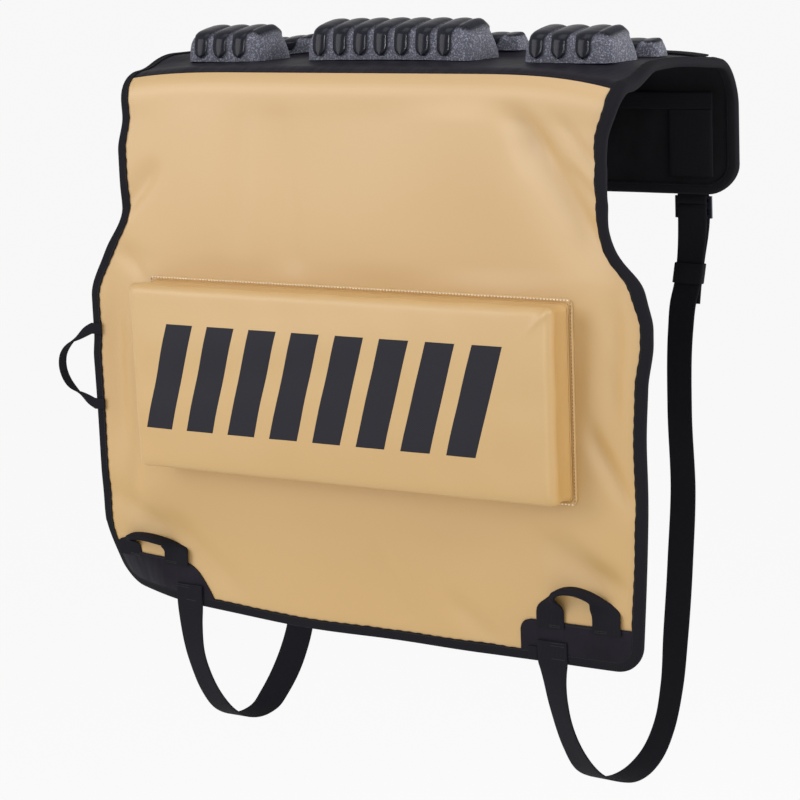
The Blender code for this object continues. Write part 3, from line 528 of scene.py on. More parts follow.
# %% Folds, roll and the curled corner
CURL_UP = 0.095
CURL_ACROSS = 0.120
CURL_DEPTH = 0.026
HEM_RISE = 0.155
HEM_SAG = 0.0012
ROLL_DEPTH = 0.0021
EDGE_START, EDGE_FADE = 0.262, 0.07
# Moves of each side edge: stretches (outward, start, rise, end, fall), then bumps (outward, middle, reach)
RIGHT_EDGE = (
    ((0.0168, 0.588, 0.062, TOP_START, 0.14), (-0.0060, -1, 1, 0.315, 0.05), (-0.0020, -1, 1, 0.56, 0.04)),
    ((0.0090, 0.430, 0.020), (-0.0030, 0.26, 0.05), (0.0020, 0.395, 0.06)),
)
LEFT_EDGE = (
    ((0.0030, 0.02, 0.09, 0.305, 0.03), (-0.0095, 0.560, 0.05, TOP_START, 0.06)),
    ((0.0040, 0.447, 0.02),),
)
box_low, box_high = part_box("bumper_cover")
# Each fold: from x and s, to x and s, depth, width on the lower left, width on the upper right
FOLDS = (
    (0.200, 0.655, 0.262, 0.560, 0.0080, 0.026, 0.012),
    (0.238, 0.592, 0.330, 0.455, 0.0115, 0.034, 0.016),
    (0.272, 0.617, 0.330, 0.548, 0.0034, 0.012, 0.006),
    (0.285, 0.556, 0.335, 0.505, 0.0034, 0.010, 0.006),
    (-0.275, 0.540, -0.335, 0.478, 0.0044, 0.016, 0.009),
    (-0.285, 0.398, -0.335, 0.440, 0.0044, 0.016, 0.010),
    (-0.150, 0.600, -0.154, 0.440, 0.0021, 0.022, 0.009),
    (-0.092, 0.625, -0.074, 0.390, 0.0021, 0.026, 0.012),
    (-0.350, 0.395, -0.345, 0.190, 0.0059, 0.020, 0.012),
    (-0.312, 0.330, -0.330, 0.120, 0.0039, 0.014, 0.012),
    (0.236, 0.148, 0.352, 0.090, 0.0068, 0.026, 0.013),
    (0.318, 0.268, 0.366, 0.180, 0.0049, 0.014, 0.008),
    (0.340, 0.420, 0.350, 0.270, 0.0039, 0.014, 0.008),
    (0.115, 0.062, 0.190, 0.016, 0.0039, 0.016, 0.010),
    (0.020, 0.110, 0.075, 0.020, 0.0029, 0.020, 0.012),
    (-0.300, 0.125, -0.180, 0.030, 0.0047, 0.026, 0.016),
    (-0.372, 0.150, -0.290, 0.098, 0.0042, 0.022, 0.012),
)


def roll(x, s, wave, seed, parts=7):
    """A slow wavy surface between about -1 and 1."""
    draw = np.random.default_rng(seed)
    total = 0.0
    for _ in range(parts):
        heading, phase = draw.uniform(0, 2 * math.pi, 2)
        length = wave * draw.uniform(0.7, 1.6)
        total = total + np.sin(2 * math.pi * (x * math.cos(heading) + s * math.sin(heading)) / length + phase)
    return total / (parts**0.5 * 1.4)


def fold(x, s, start_x, start_s, end_x, end_s, depth, gentle, steep):
    """A valley from start to end that fades out at both ends."""
    run_x, run_s = end_x - start_x, end_s - start_s
    length = math.hypot(run_x, run_s)
    along = ((x - start_x) * run_x + (s - start_s) * run_s) / length**2
    across = ((x - start_x) * run_s - (s - start_s) * run_x) / length
    width = np.where(across > 0, gentle, steep)
    return -depth * np.exp(-((across / width) ** 2) - ((along - 0.5) / 0.48) ** 4)


def held_flat(x, s):
    """1 where nothing holds the cloth, 0 under the box and over the top."""
    z = s - FRONT_DROP
    outside = np.maximum(np.abs(x) - box_high.x, np.maximum(z - box_high.z, box_low.z - z))
    return ease(outside / 0.030) * (1 - ease((s - FRONT_STRAIGHT + 0.03) / 0.03))


def lift(x, s):
    """How far the sheet stands off its flat shape."""
    total = ROLL_DEPTH * roll(x, s, 0.17, 4)
    for numbers in FOLDS:
        total = total + fold(x, s, *numbers)
    flap = ease((s - FLAP_START) / 0.04) * (1 - ease((np.abs(x) - 0.20) / 0.03))
    return total * held_flat(x, s) + 0.0012 * roll(x, s, 0.11, 9) * flap


def curl(x, s):
    """How far the lower left corner turns back."""
    outward = (-x - HEM_HALF + CURL_ACROSS) / CURL_ACROSS
    downward = (CURL_UP - s) / CURL_UP
    return CURL_DEPTH * np.clip(outward + downward - 0.95, 0, None) ** 1.6 * (s < CURL_UP)


def hem_rise(x, s):
    """The hem is drawn up towards its left end."""
    rise = HEM_RISE * np.clip(-x, 0, None) ** 2 * (1 - ease(s / 0.16))
    return rise - HEM_SAG * (1 + x / HEM_HALF) * (1 - ease(s / 0.1))


def edge_move(s, stretches, bumps):
    """The sum of the moves of one side edge."""
    total = sum(move * window(s, *span) for move, *span in stretches)
    return total + sum(move * np.exp(-(((s - middle) / reach) ** 2)) for move, middle, reach in bumps)


def sway(x, s):
    """How far the side edges hang off their cut lines."""
    right, left = [ease((sign * x - EDGE_START) / EDGE_FADE) for sign in (1, -1)]
    return edge_move(s, *RIGHT_EDGE) * right - edge_move(s, *LEFT_EDGE) * left


def on_sheet(x, s, offset):
    """Points on the sheet: x across, s along the section, offset outside the lining."""
    x, s, offset = np.broadcast_arrays(np.asarray(x, float), np.asarray(s, float), np.asarray(offset, float))
    offset = offset + lift(x, s)
    x = x + sway(x, s)
    front = np.clip((s - FRONT_STRAIGHT) / FRONT_BEND, 0, math.pi / 2)
    rear = np.clip((s - TOP_END) / REAR_BEND, 0, math.pi / 2)
    where = [s <= FRONT_STRAIGHT, s <= TOP_START, s <= TOP_END, s <= FLAP_START]
    front_y = FRONT_BEND - inner_face - (FRONT_BEND + offset) * np.cos(front)
    rear_y = inner_face - REAR_BEND + (REAR_BEND + offset) * np.sin(rear)
    top_y = FRONT_BEND - inner_face + s - TOP_START
    y = np.select(where, [-inner_face - offset, front_y, top_y, rear_y], inner_face + offset)
    front_z = (FRONT_BEND + offset) * np.sin(front) - FRONT_BEND
    rear_z = (REAR_BEND + offset) * np.cos(rear) - REAR_BEND
    z = np.select(where, [s - FRONT_DROP, front_z, offset, rear_z], FLAP_START - s - REAR_BEND)
    return np.stack([x, y + curl(x, s), z - slack(x, s) + raised_end(x, s) + hem_rise(x, s)], -1)


# %% [markdown]
# Two helpers make most of the meshes. One closes two grids of points into a thin body,
# which suits cloth and webbing. The other writes a body from rings, which suits tape
# and the padded box. Both store a map in metres, so that a weave keeps its true size.

# %% Helpers for meshes
WELD = 0.00002


@contextmanager
def mended(mesh):
    """Open a mesh for changes, and leave it with its faces turned outwards."""
    work = bmesh.new()
    work.from_mesh(mesh)
    yield work
    bmesh.ops.recalc_face_normals(work, faces=work.faces)
    work.to_mesh(mesh)
    work.free()


def finish_piece(name, points, faces, run, material, node_names, slot, sharp=60):
    """A smooth body with its map, material and place in the frame."""
    mesh = bpy.data.meshes.new(name)
    mesh.from_pydata(np.asarray(points).tolist(), [], [tuple(int(i) for i in face) for face in faces])
    with mended(mesh):
        pass
    if run is not None:
        corner = np.zeros(len(mesh.loops), np.int32)
        mesh.loops.foreach_get("vertex_index", corner)
        layer = mesh.uv_layers.new(name="run")
        layer.data.foreach_set("uv", np.asarray(run, np.float32)[corner].reshape(-1))
    mesh.materials.append(material)
    mesh.shade_smooth()
    mesh.set_sharp_from_angle(angle=math.radians(sharp))
    piece = add_object(name, mesh)
    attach(piece, "root")
    if node_names:
        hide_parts(*node_names)
    print(name, len(mesh.polygons), "faces")
    return piece


def grid_faces(rows, columns):
    """Quads of one grid, as numbers of its points."""
    index = np.arange(rows * columns).reshape(rows, columns)
    corners = [index[:-1, :-1], index[:-1, 1:], index[1:, 1:], index[1:, :-1]]
    return np.stack(corners, -1).reshape(-1, 4), index


def unit(vectors):
    """The same directions at length one."""
    return vectors / np.maximum(np.linalg.norm(vectors, axis=-1, keepdims=True), 1e-9)


def distance_along(points):
    """How far along a path each of its points lies."""
    return np.concatenate([[0], np.cumsum(np.linalg.norm(np.diff(points, axis=0), axis=1))])


def closed_sheet(name, outer, inner, run, *finish):
    """A thin closed body between two grids of equal size."""
    rows, columns = outer.shape[:2]
    quads, index = grid_faces(rows, columns)
    size = rows * columns
    rim = np.concatenate([index[0], index[1:, -1], index[-1, -2::-1], index[-2:0:-1, 0]])
    following = np.roll(rim, -1)
    side = np.stack([rim, rim + size, following + size, following], -1)
    faces = np.concatenate([quads, quads[:, ::-1] + size, side])
    points = np.concatenate([outer.reshape(-1, 3), inner.reshape(-1, 3)])
    both = np.concatenate([run.reshape(-1, 2), run.reshape(-1, 2)])
    return finish_piece(name, points, faces, both, *finish)


def closed_rings(name, rings, run, *finish):
    """A ring-shaped body: rings of points, each closed, and the last joined to the first."""
    count, size = rings.shape[:2]
    index = np.arange(count * size).reshape(count, size)
    after, beside = np.roll(index, -1, 0), np.roll(index, -1, 1)
    faces = np.stack([index, beside, np.roll(beside, -1, 0), after], -1).reshape(-1, 4)
    return finish_piece(name, rings.reshape(-1, 3), faces, run.reshape(-1, 2), *finish)


# %% [markdown]
# The outline of the sheet is followed at a few millimetres' spacing, with round corners
# at the hem and at the end of the flap. Moved inwards by its own normals it also gives
# the edges of the layers and the line of the seams.

# %% The outline
OUTLINE_STEP = 0.004


def outline_half():
    """The right half of the outline as (x, s), from the hem's middle to the flap's."""
    centre = float(half_width(np.array(HEM_CORNER))) - HEM_CORNER
    turn = np.linspace(0, math.pi / 2, 12)[:-1]
    across = np.arange(0, centre, OUTLINE_STEP)
    hem = np.stack([across, 0 * across], -1)
    corner = np.stack([centre + HEM_CORNER * np.sin(turn), HEM_CORNER * (1 - np.cos(turn))], -1)
    levels = np.arange(HEM_CORNER, PATH_LENGTH - FLAP_CORNER, OUTLINE_STEP)
    side = np.stack([half_width(levels), levels], -1)
    centre = NECK_HALF - FLAP_CORNER
    turn = np.linspace(0, math.pi / 2, 12)
    end = np.stack([centre + FLAP_CORNER * np.cos(turn), PATH_LENGTH + FLAP_CORNER * (np.sin(turn) - 1)], -1)
    across = np.arange(centre - OUTLINE_STEP, -OUTLINE_STEP / 2, -OUTLINE_STEP)
    flap = np.stack([np.append(across[across > 0], 0.0), np.full((across > 0).sum() + 1, PATH_LENGTH)], -1)
    return np.concatenate([hem, corner, side, end, flap])


def full_outline():
    """The whole outline, once round."""
    right = outline_half()
    left = right[-2:0:-1] * (-1, 1)
    return np.concatenate([right, left])


def inward(loop):
    """Unit vectors that point into the sheet, for each place of a closed loop."""
    along = unit(np.roll(loop, -1, 0) - np.roll(loop, 1, 0))
    return np.stack([-along[:, 1], along[:, 0]], -1)


outline = full_outline()
outline_in = inward(outline)
outline_run = distance_along(outline)
print("outline:", len(outline), "points,", round(outline_run[-1], 2), "m round")

# %% [markdown]
# Coated cloth covers the sheet in two parts that meet in a seam just over the front
# bend. Each part is modelled with its padding as one closed body on a five millimetre
# grid, so that the folds are real geometry. The edge of the grid follows the outline.

# %% Front panel, top and lining
EDGE_INSET = 0.004
GRID = 0.005
CROWN = 0.0035
REAR_CROWN = 0.0070


def edge_at(s, inset):
    """Half width of a layer at s, with its edge inset from the outline."""
    loop = (outline + outline_in * inset)[: len(outline) // 2 + 1]
    rising = np.maximum.accumulate(loop[:, 1])
    keep = loop[:, 0] > 2 * inset
    return np.interp(s, rising[keep], loop[keep, 0])


def layer_grid(low, high):
    """(x, s) over a stretch of the sheet, as a grid."""
    rows = max(int((high - low) / GRID), 3) + 1
    s = np.linspace(low, high, rows)
    width = edge_at(s, EDGE_INSET)
    share = np.linspace(-1, 1, int(2 * WIDEST_HALF / GRID))
    return width[:, None] * share[None, :], np.repeat(s[:, None], len(share), 1)


def crown(x, y):
    """How much fuller the padding is under the middle of the top."""
    front = CROWN * (1 - ease(np.abs(x) / 0.27)) * (1 - ease(np.abs(y + 0.04) / 0.11))
    return front + REAR_CROWN * (1 - ease((np.abs(x) - 0.14) / 0.12)) * window(y, 0, 0.05, 0.075, 0.06)


def padded_layer(name, low, high, inner, outer, fill, *finish):
    """A closed body over a stretch of the sheet, between two offsets."""
    x, s = layer_grid(low, high)
    if inner > 0:
        outer = outer + crown(x, FRONT_BEND - inner_face + s - TOP_START)
    piece = closed_sheet(name, on_sheet(x, s, outer), on_sheet(x, s, inner), np.stack([x, s], -1), *finish)


flap_end = PATH_LENGTH - EDGE_INSET
padded_layer(
    "front_panel", EDGE_INSET, SEAM - GAP, LINING + GAP, PAD_OUT, 0.7,
    yellow_cloth, ["front_cover", "front_foam"], "yellow_tarpaulin",
)
padded_layer(
    "top_panel", SEAM, flap_end, LINING + GAP, PAD_OUT, 0.7,
    dark_cloth, ["top_cover", "top_foam", "flap_foam"], "black_tarpaulin",
)
padded_layer("lining_skin", EDGE_INSET, flap_end, 0.0, LINING, 0.2, lining_finish, ["lining"], "lining_cloth")

# %% [markdown]
# The binding is a folded tape that wraps the edge. Its section is a flat U with a round
# back, swept round the outline. The needle pulls it down at each stitch, so its inner
# edge is a little wavy, and the cloth shows as fine teeth along it.

# %% Edge binding
TAPE_WIDTH = 0.013
TAPE_WAVE = 0.0004
TAPE_STITCH = 0.0071
TAPE_BACK = 0.0035


def tape_section():
    """The U of the tape as (inset, offset), once round."""
    outer, inner = PAD_OUT + GAP, -GAP
    turn = np.linspace(math.pi / 2, -math.pi / 2, 7)
    middle, reach = (outer + inner) / 2, (outer - inner) / 2
    back = [(TAPE_BACK * (1 - math.cos(a)), middle + (reach + TAPE) * math.sin(a)) for a in turn]
    front = [(TAPE_WIDTH, outer), (TAPE_WIDTH, outer + 0.7 * TAPE), (TAPE_WIDTH - 0.0008, outer + TAPE)]
    rear = [(TAPE_WIDTH - 0.0008, inner - TAPE), (TAPE_WIDTH, inner - 0.7 * TAPE), (TAPE_WIDTH, inner)]
    hollow = [(0.005, inner), (TAPE_BACK, middle - 0.8 * reach)]
    return front + back + rear + hollow + [(TAPE_BACK, middle + 0.8 * reach), (0.005, outer)]


def add_tape():
    rings, runs = [], []
    uneven = 0.8 * roll(outline_run, 0 * outline_run, 0.05, 21)
    wave = TAPE_WAVE * (np.sin(outline_run / TAPE_STITCH * math.pi) + uneven)
    for inset, offset in tape_section():
        place = outline + outline_in * (inset + wave * (inset > 0.01))[:, None]
        rings.append(on_sheet(place[:, 0], place[:, 1], offset))
        runs.append(np.stack([outline_run, np.full(len(outline), inset + offset)], -1))
    rings, runs = np.array(rings), np.array(runs)
    closed_rings("edge_tape", rings, runs, binding_tape, ["edge_binding"], "black_webbing")


add_tape()

# %% [markdown]
# The padded box is foam under a sewn cover. Its section goes from the flange on the
# panel over a stitched welt, up the side, round a soft edge and over a face that crowns
# slightly. It is built from rings. The corners are pulled, the top right one into a
# sharp pinch, and the sides draw in between them.

# %% Padded box
BOX_EDGE = 0.010
BOX_CROWN = 0.0035
WELT_WIDTH = 0.0050
WELT_THICKNESS = 0.0030
flange = 0.006
box_half = box_high.x - flange
box_top, box_bottom = box_high.z - flange, box_low.z + flange
box_base = box_high.y
box_depth = box_base - box_low.y
box_middle = (box_top + box_bottom) / 2
box_half_height = (box_top - box_bottom) / 2


def round_corners(half_x, half_y, radius, steps):
    """The four arcs of a rounded rectangle, in turn."""
    arcs = []
    for turn, (sign_x, sign_y) in enumerate(((1, 1), (-1, 1), (-1, -1), (1, -1))):
        angle = math.pi / 2 * (turn + np.linspace(0, 1, steps))
        centre = np.array([sign_x * (half_x - radius), sign_y * (half_y - radius)])
        arcs.append(centre + radius * np.stack([np.cos(angle), np.sin(angle)], -1))
    return arcs


def box_ring(grow, radius):
    """A rounded rectangle round the box as (x, z), the same points in each ring."""
    half_x, half_z = box_half + grow, box_half_height + grow
    parts = round_corners(half_x, half_z, max(min(radius, half_z), 0.0), 8)
    loop = []
    for part, following, steps in zip(parts, parts[1:] + parts[:1], (110, 42, 110, 42)):
        share = np.linspace(0, 1, steps)[1:-1, None]
        loop += [part, part[-1] * (1 - share) + following[0] * share]
    return np.concatenate(loop)


def box_profile():
    """(grow, depth, radius) of the rings, from the panel to the middle of the face."""
    rows = [(WELT_WIDTH, 0.0, 0.008), (WELT_WIDTH, 0.7 * WELT_THICKNESS, 0.008)]
    rows += [(0.8 * WELT_WIDTH, WELT_THICKNESS, 0.008), (0.35 * WELT_WIDTH, WELT_THICKNESS, 0.007)]
    rows += [(0.0006, 0.6 * WELT_THICKNESS, 0.006), (-0.0002, 1.4 * WELT_THICKNESS, 0.006)]
    for share in np.linspace(0.12, 1.0, 9):
        rows.append((-0.0022 * math.sin(math.pi * share), share * (box_depth - BOX_EDGE), 0.006))
    for angle in np.linspace(0, math.pi / 2, 8)[1:]:
        depth = box_depth + BOX_EDGE * (math.sin(angle) - 1)
        rows.append((BOX_EDGE * (math.cos(angle) - 1), depth, 0.007))
    for inward_by in np.linspace(0, 1, 22)[1:]:
        rows.append((-BOX_EDGE - inward_by * (box_half_height - BOX_EDGE), box_depth, 0.006))
    return rows


def dent_box(x, z, depth):
    """Small moves of the box's skin at one depth: (across x, across z, outward)."""
    face = ease((depth - 0.6 * box_depth) / (0.35 * box_depth))
    u, v = x / box_half, (z - box_middle) / box_half_height
    crown = BOX_CROWN * np.clip(1 - u**4, 0, 1) * np.clip(1 - np.abs(v) ** 3, 0, 1)
    side = ease(depth / 0.012) * (1 - face)
    wobble = 0.0012 * roll(x, z, 0.075, 31) * side
    ripple = 0.0007 * roll(x, z, 0.09, 33) * face + crown * face
    right_corner = np.exp(-(((x - box_half) / 0.03) ** 2) - ((z - box_top) / 0.026) ** 2)
    pinch = right_corner * (0.0030 * np.exp(-(((x - box_half) - (z - box_top)) / 0.006) ** 2) - 0.0022)
    left_end = np.clip(-u, 0, 1) ** 10 * ease(depth / box_depth)
    bulge = left_end * (0.010 + 0.003 * v)
    lower_welt = -0.5 * depth * (depth <= WELT_THICKNESS) * (v > 0.9)
    return wobble * u - bulge, wobble * v, ripple + pinch * ease(depth / 0.02) + lower_welt


def add_box():
    rings, runs = [], []
    travel = 0.0
    before = None
    for grow, depth, radius in box_profile():
        loop = box_ring(grow, radius)
        x, z = loop[:, 0], loop[:, 1] + box_middle
        move_x, move_z, out = dent_box(x, z, depth)
        ring = np.stack([x + move_x, box_base - depth - out, z + move_z], -1)
        travel += 0 if before is None else float(np.linalg.norm(ring - before, axis=1).mean())
        before = ring
        rings.append(ring)
        runs.append(np.stack([np.arange(len(x)) * 0.004, np.full(len(x), travel)], -1))
    rings, runs = np.array(rings), np.array(runs)
    count, size = rings.shape[:2]
    index = np.arange(count * size).reshape(count, size)
    beside = np.roll(index, -1, 1)
    faces = np.stack([index[:-1], beside[:-1], beside[1:], index[1:]], -1).reshape(-1, 4).tolist()
    faces.append(index[0][::-1].tolist())
    box = finish_piece(
        "padded_box", rings.reshape(-1, 3), faces, runs.reshape(-1, 2), printed_cloth,
        ["bumper_cover", "bumper_foam"], "yellow_tarpaulin", 70,
    )
    with mended(box.data) as work:
        bmesh.ops.remove_doubles(work, verts=work.verts, dist=WELD)


add_box()

# %% [markdown]
# The cradle blocks are moulded in one piece each. Rounded fingers drape up the front,
# over the crest and down the back, with narrow pebbled valleys between them. The block
# is a grid: one way goes along the row, the other round the section. A finger is a dome
# across, and its lower end is a half circle. The ends of the block slope inwards.

# %% Cradle blocks
FINGER_HALF = 0.0108
FINGER_RISE = 0.0046
# Middles of the fingers along each block; the last of them is only a rib on the crest
FINGERS = {
    "left": (0.0290, 0.0570, 0.0855, 0.1070),
    "middle": (0.0235, 0.0520, 0.0805, 0.1090, 0.1375, 0.1665, 0.1955, 0.2185),
    "right": (0.0220, 0.0510, 0.0820, 0.1060),
}
CREST_SHARE = 0.78
CREST_WIDER = 0.0029
BLOCK_INSET = {"left": 0.006, "middle": 0.002, "right": 0.003}
BLOCK_HEIGHT = {"left": 1.02, "middle": 0.975, "right": 0.975}
BASE_STRIP = 0.0050
FULL_HEIGHT = 0.045
FULL_DEPTH = 0.066
COLUMN_WIDTH = 0.0013
END_SLOPE = 0.017
PLAN_CORNER = 0.014
# The section over depth and height, as shares of both
SECTION = (
    (0.0, 0.0), (0.004, 0.14), (0.014, 0.30), (0.026, 0.46), (0.044, 0.62), (0.085, 0.725), (0.17, 0.785),
    (0.34, 0.845), (0.54, 0.895), (0.68, 0.905), (0.80, 0.80), (0.90, 0.56), (0.97, 0.28), (1.0, 0.0),
)


def smooth_section(samples):
    """The section as a curve at even spacing."""
    rough = np.array(SECTION)
    pace = distance_along(rough)
    dense = np.linspace(0, pace[-1], 400)
    curve = np.stack([np.interp(dense, pace, rough[:, axis]) for axis in (0, 1)], -1)
    kernel = np.hanning(17) / np.hanning(17).sum()
    padded = np.pad(curve, ((8, 8), (0, 0)), "edge")
    soft = np.stack([np.convolve(padded[:, axis], kernel, "valid") for axis in (0, 1)], -1)
    soft[0], soft[-1] = rough[0], rough[-1]
    return soft[np.linspace(0, len(soft) - 1, samples).round().astype(int)]


def add_block(row, side):
    node = f"{row}_block_{side}"
    low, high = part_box(node)
    depth, height = high.y - low.y, BLOCK_HEIGHT[side] * (high.z - low.z)
    low.x += BLOCK_INSET[side]
    length = high.x - low.x
    columns = max(int(length / COLUMN_WIDTH), 20)
    samples = 74 if height > 0.03 else 46
    shape = smooth_section(samples)
    x = np.linspace(0, length, columns + 1)
    near = np.minimum(x, length - x)
    slope = np.clip(near / (END_SLOPE * height / FULL_HEIGHT), 0, 1)
    tall = 0.13 + 0.87 * (1 - (1 - slope) ** 2.2) ** (1 / 2.2)
    plan = np.clip(1 - near / PLAN_CORNER, 0, 1)
    setback = PLAN_CORNER * (1 - np.sqrt(1 - plan**2)) * 0.7 * min(depth / FULL_DEPTH, 1)
    y = setback[:, None] + shape[None, :, 0] * (depth - 2 * setback[:, None])
    z = shape[None, :, 1] * (height * tall)[:, None]
    surface = np.stack([np.repeat(x[:, None], samples, 1), y, z], -1)
    normal = unit(np.cross(np.gradient(surface, axis=0), np.gradient(surface, axis=1)))
    run = np.pad(np.cumsum(np.linalg.norm(np.diff(surface, axis=1), axis=2), 1), ((0, 0), (1, 0)))
    fingers = np.array(FINGERS[side]) - BLOCK_INSET[side]
    middle = fingers[np.abs(x[:, None] - fingers).argmin(1)]
    strip = np.where(middle == fingers[-1], CREST_SHARE * height, BASE_STRIP)[:, None]
    foot = np.minimum(run, run[:, -1:] - run)
    end = foot - strip
    half = FINGER_HALF + CREST_WIDER * ease((foot / height - 0.60) / 0.30)
    round_end = np.sqrt(1 - np.clip(1 - end / half, 0, 1) ** 2) * half
    reach = np.abs(x - middle)[:, None] / np.maximum(round_end, 1e-6)
    dome = np.sqrt(np.clip(1 - reach**2, 0, 1)) * (end > 0) * ease(slope)[:, None]
    surface += normal * (dome * FINGER_RISE * min(height / FULL_HEIGHT, 1))[:, :, None]
    surface[:, :, 2] = np.maximum(surface[:, :, 2], 0.0)
    bulge = crown(low.x + x, low.y + depth / 2)
    points = surface + np.array([low.x, low.y, low.z]) + bulge[:, None, None] * (0, 0, 1)
    quads, index = grid_faces(columns + 1, samples)
    faces = quads.tolist() + [index[0].tolist(), index[-1].tolist()[::-1]]
    faces += np.stack([index[:-1, 0], index[:-1, -1], index[1:, -1], index[1:, 0]], -1).tolist()
    place = np.stack([np.repeat(x[:, None], samples, 1), run], -1)
    block = finish_piece(
        node + "_skin", points.reshape(-1, 3), faces, place.reshape(-1, 2),
        pebbled_foam, [node], "moulded_foam", 55,
    )
    valley = block.data.attributes.new("valley", "FLOAT", "POINT")
    valley.data.foreach_set("value", (1 - np.clip(dome * 1.6, 0, 1)).reshape(-1).astype(np.float32))


for row in ("front", "rear"):
    for side in ("left", "middle", "right"):
        add_block(row, side)

# %% [markdown]
# Webbing is flat, so it isn't simulated: it is a ribbon along a path. The ribbon gets
# its real thickness, thin selvedges at its two sides, and a map that runs with it. Its
# width direction may turn along the path, which is how a handle stands up on its feet.

# %% Ribbons
ACROSS = np.array([-1.0, -0.965, -0.85, -0.5, 0.0, 0.5, 0.85, 0.965, 1.0])
FULLNESS = np.array([0.35, 0.8, 1.0, 1.0, 0.96, 1.0, 1.0, 0.8, 0.35])


def ribbon(name, centre, widthwise, width, thickness, node):
    """Webbing along centre points; widthwise gives the direction of its width there."""
    widthwise = unit(widthwise)
    normal = unit(np.cross(np.gradient(centre, axis=0), widthwise))
    width = np.broadcast_to(width, len(centre))
    middle = centre[:, None] + widthwise[:, None] * (ACROSS[None, :, None] * width[:, None, None] / 2)
    thickness = np.broadcast_to(thickness, len(centre))
    half = normal[:, None] * (FULLNESS[None, :] * thickness[:, None] / 2)[:, :, None]
    run = distance_along(centre)
    places = np.stack([np.repeat(run[:, None], len(ACROSS), 1), ACROSS[None, :] * width[:, None] / 2], -1)
    closed_sheet(name, middle + half, middle - half, places, webbing, [node], "black_webbing", 75)


def with_feet(arch, reach, count):
    """An arch of values that goes on past both its ends, by up to reach."""
    foot = reach * np.linspace(1, 0, count + 1)[:-1]
    return np.concatenate([arch[0] + foot, arch, arch[-1] + foot[::-1]])


def first_half(values):
    """1 over the first half of the places, -1 over the second."""
    return np.where(np.arange(len(values)) < len(values) / 2, 1.0, -1.0)


def spline(points, step):
    """A smooth curve through points, at even steps."""
    points = np.asarray(points, float)
    pace = distance_along(points[:, :3])
    slope = np.gradient(points, pace, axis=0)
    even = np.linspace(0, pace[-1], int(pace[-1] / step) + 1)
    part = np.clip(np.searchsorted(pace, even, "right") - 1, 0, len(pace) - 2)
    length = pace[part + 1] - pace[part]
    t = ((even - pace[part]) / length)[:, None]
    length = length[:, None]
    start, end = points[part], points[part + 1]
    leave, arrive = slope[part] * length, slope[part + 1] * length
    bend = (2 * t**3 - 3 * t**2 + 1) * start + (t**3 - 2 * t**2 + t) * leave
    return bend + (3 * t**2 - 2 * t**3) * end + (t**3 - t**2) * arrive


# %% [markdown]
# The straps leave the hem in front, hang in a loop where the tailgate would be, and
# come up behind to a ladder-lock buckle below the flap. The webbing turns round the
# buckle's bar, and its free end goes down again through an elastic keeper.

# %% Straps
STRAP_WIDTH = 0.038
STRAP_THICKNESS = 0.0022
PATCH = 0.0012
STRAP_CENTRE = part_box("strap_right")[0].x + STRAP_WIDTH / 2
LIE = PAD_OUT + GAP + PATCH + GAP + STRAP_THICKNESS / 2
buckle_low, buckle_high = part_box("buckle_right")
BUCKLE_Y = (buckle_low.y + buckle_high.y) / 2
BAR = 0.0036
BAR_DEPTH = 0.0032
SLOT = 0.0078
keeper_low, keeper_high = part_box("strap_keeper_right")
# Each route: (y, z) of the webbing's middle and how far its width turns, from the hem back up
RIGHT_ROUTE = (
    (-0.160, -0.660, -0.16), (-0.149, -0.707, -0.42), (-0.119, -0.763, -0.34), (-0.088, -0.796, -0.14),
    (-0.046, -0.817, -0.08), (-0.004, -0.828, -0.12), (0.037, -0.826, -0.24), (0.070, -0.813, -0.34),
    (0.095, -0.789, -0.38), (0.114, -0.748, -0.32), (0.126, -0.690, -0.20), (0.140, -0.610, -0.17),
    (0.149, -0.514, -0.20), (0.144, -0.416, -0.23), (0.150, -0.320, -0.20), (0.156, -0.290, -0.16),
)
LEFT_ROUTE = (
    (-0.160, -0.660, -0.12), (-0.155, -0.698, -0.26), (-0.144, -0.727, -0.26), (-0.127, -0.757, -0.18),
    (-0.098, -0.788, -0.06), (-0.066, -0.803, 0.00), (-0.036, -0.806, 0.06), (-0.015, -0.802, 0.14),
    (0.002, -0.791, 0.22), (0.028, -0.769, 0.24), (0.047, -0.746, 0.16), (0.061, -0.722, 0.10),
    (0.071, -0.690, 0.04), (0.096, -0.540, -0.04), (0.129, -0.370, 0.05), (0.144, -0.310, 0.10),
)
REAR_OUTBOARD = (buckle_low.x + buckle_high.x) / 2 - STRAP_CENTRE
LEAN_TOP = buckle_high.z - 3 * BAR - 2 * SLOT
LEAN_LENGTH = 0.115
TAIL_LENGTH = 0.024
UPPER_TURN = -0.14


def upper_route(turn):
    """(y, z, turn) from the keeper to the buckle's bar and down again to the free end."""
    run = BUCKLE_Y - STRAP_THICKNESS / 2 - GAP
    bar_z = buckle_high.z - 1.5 * BAR - SLOT
    wrap = math.hypot(BAR_DEPTH, BAR) / 2 + GAP + STRAP_THICKNESS / 2
    path = [(run, keeper_low.z, turn), (run, keeper_high.z, turn), (BUCKLE_Y - wrap, bar_z - 3 * BAR, 0.0)]
    for a in np.linspace(0, math.pi, 12):
        path.append((BUCKLE_Y - wrap * math.cos(a), bar_z + wrap * math.sin(a), 0.0))
    tail = BUCKLE_Y + STRAP_THICKNESS / 2 + GAP
    path += [(BUCKLE_Y + wrap, bar_z - 3 * BAR, 0.0), (tail, keeper_high.z, turn)]
    return path + [(tail, keeper_low.z, turn), (tail, keeper_low.z - TAIL_LENGTH, turn)]


def rear_x(sign, z):
    """Middle of the rear run at z: it leans outboard, up to its buckle."""
    return sign * (STRAP_CENTRE + REAR_OUTBOARD * ease((z - LEAN_TOP) / LEAN_LENGTH + 1))


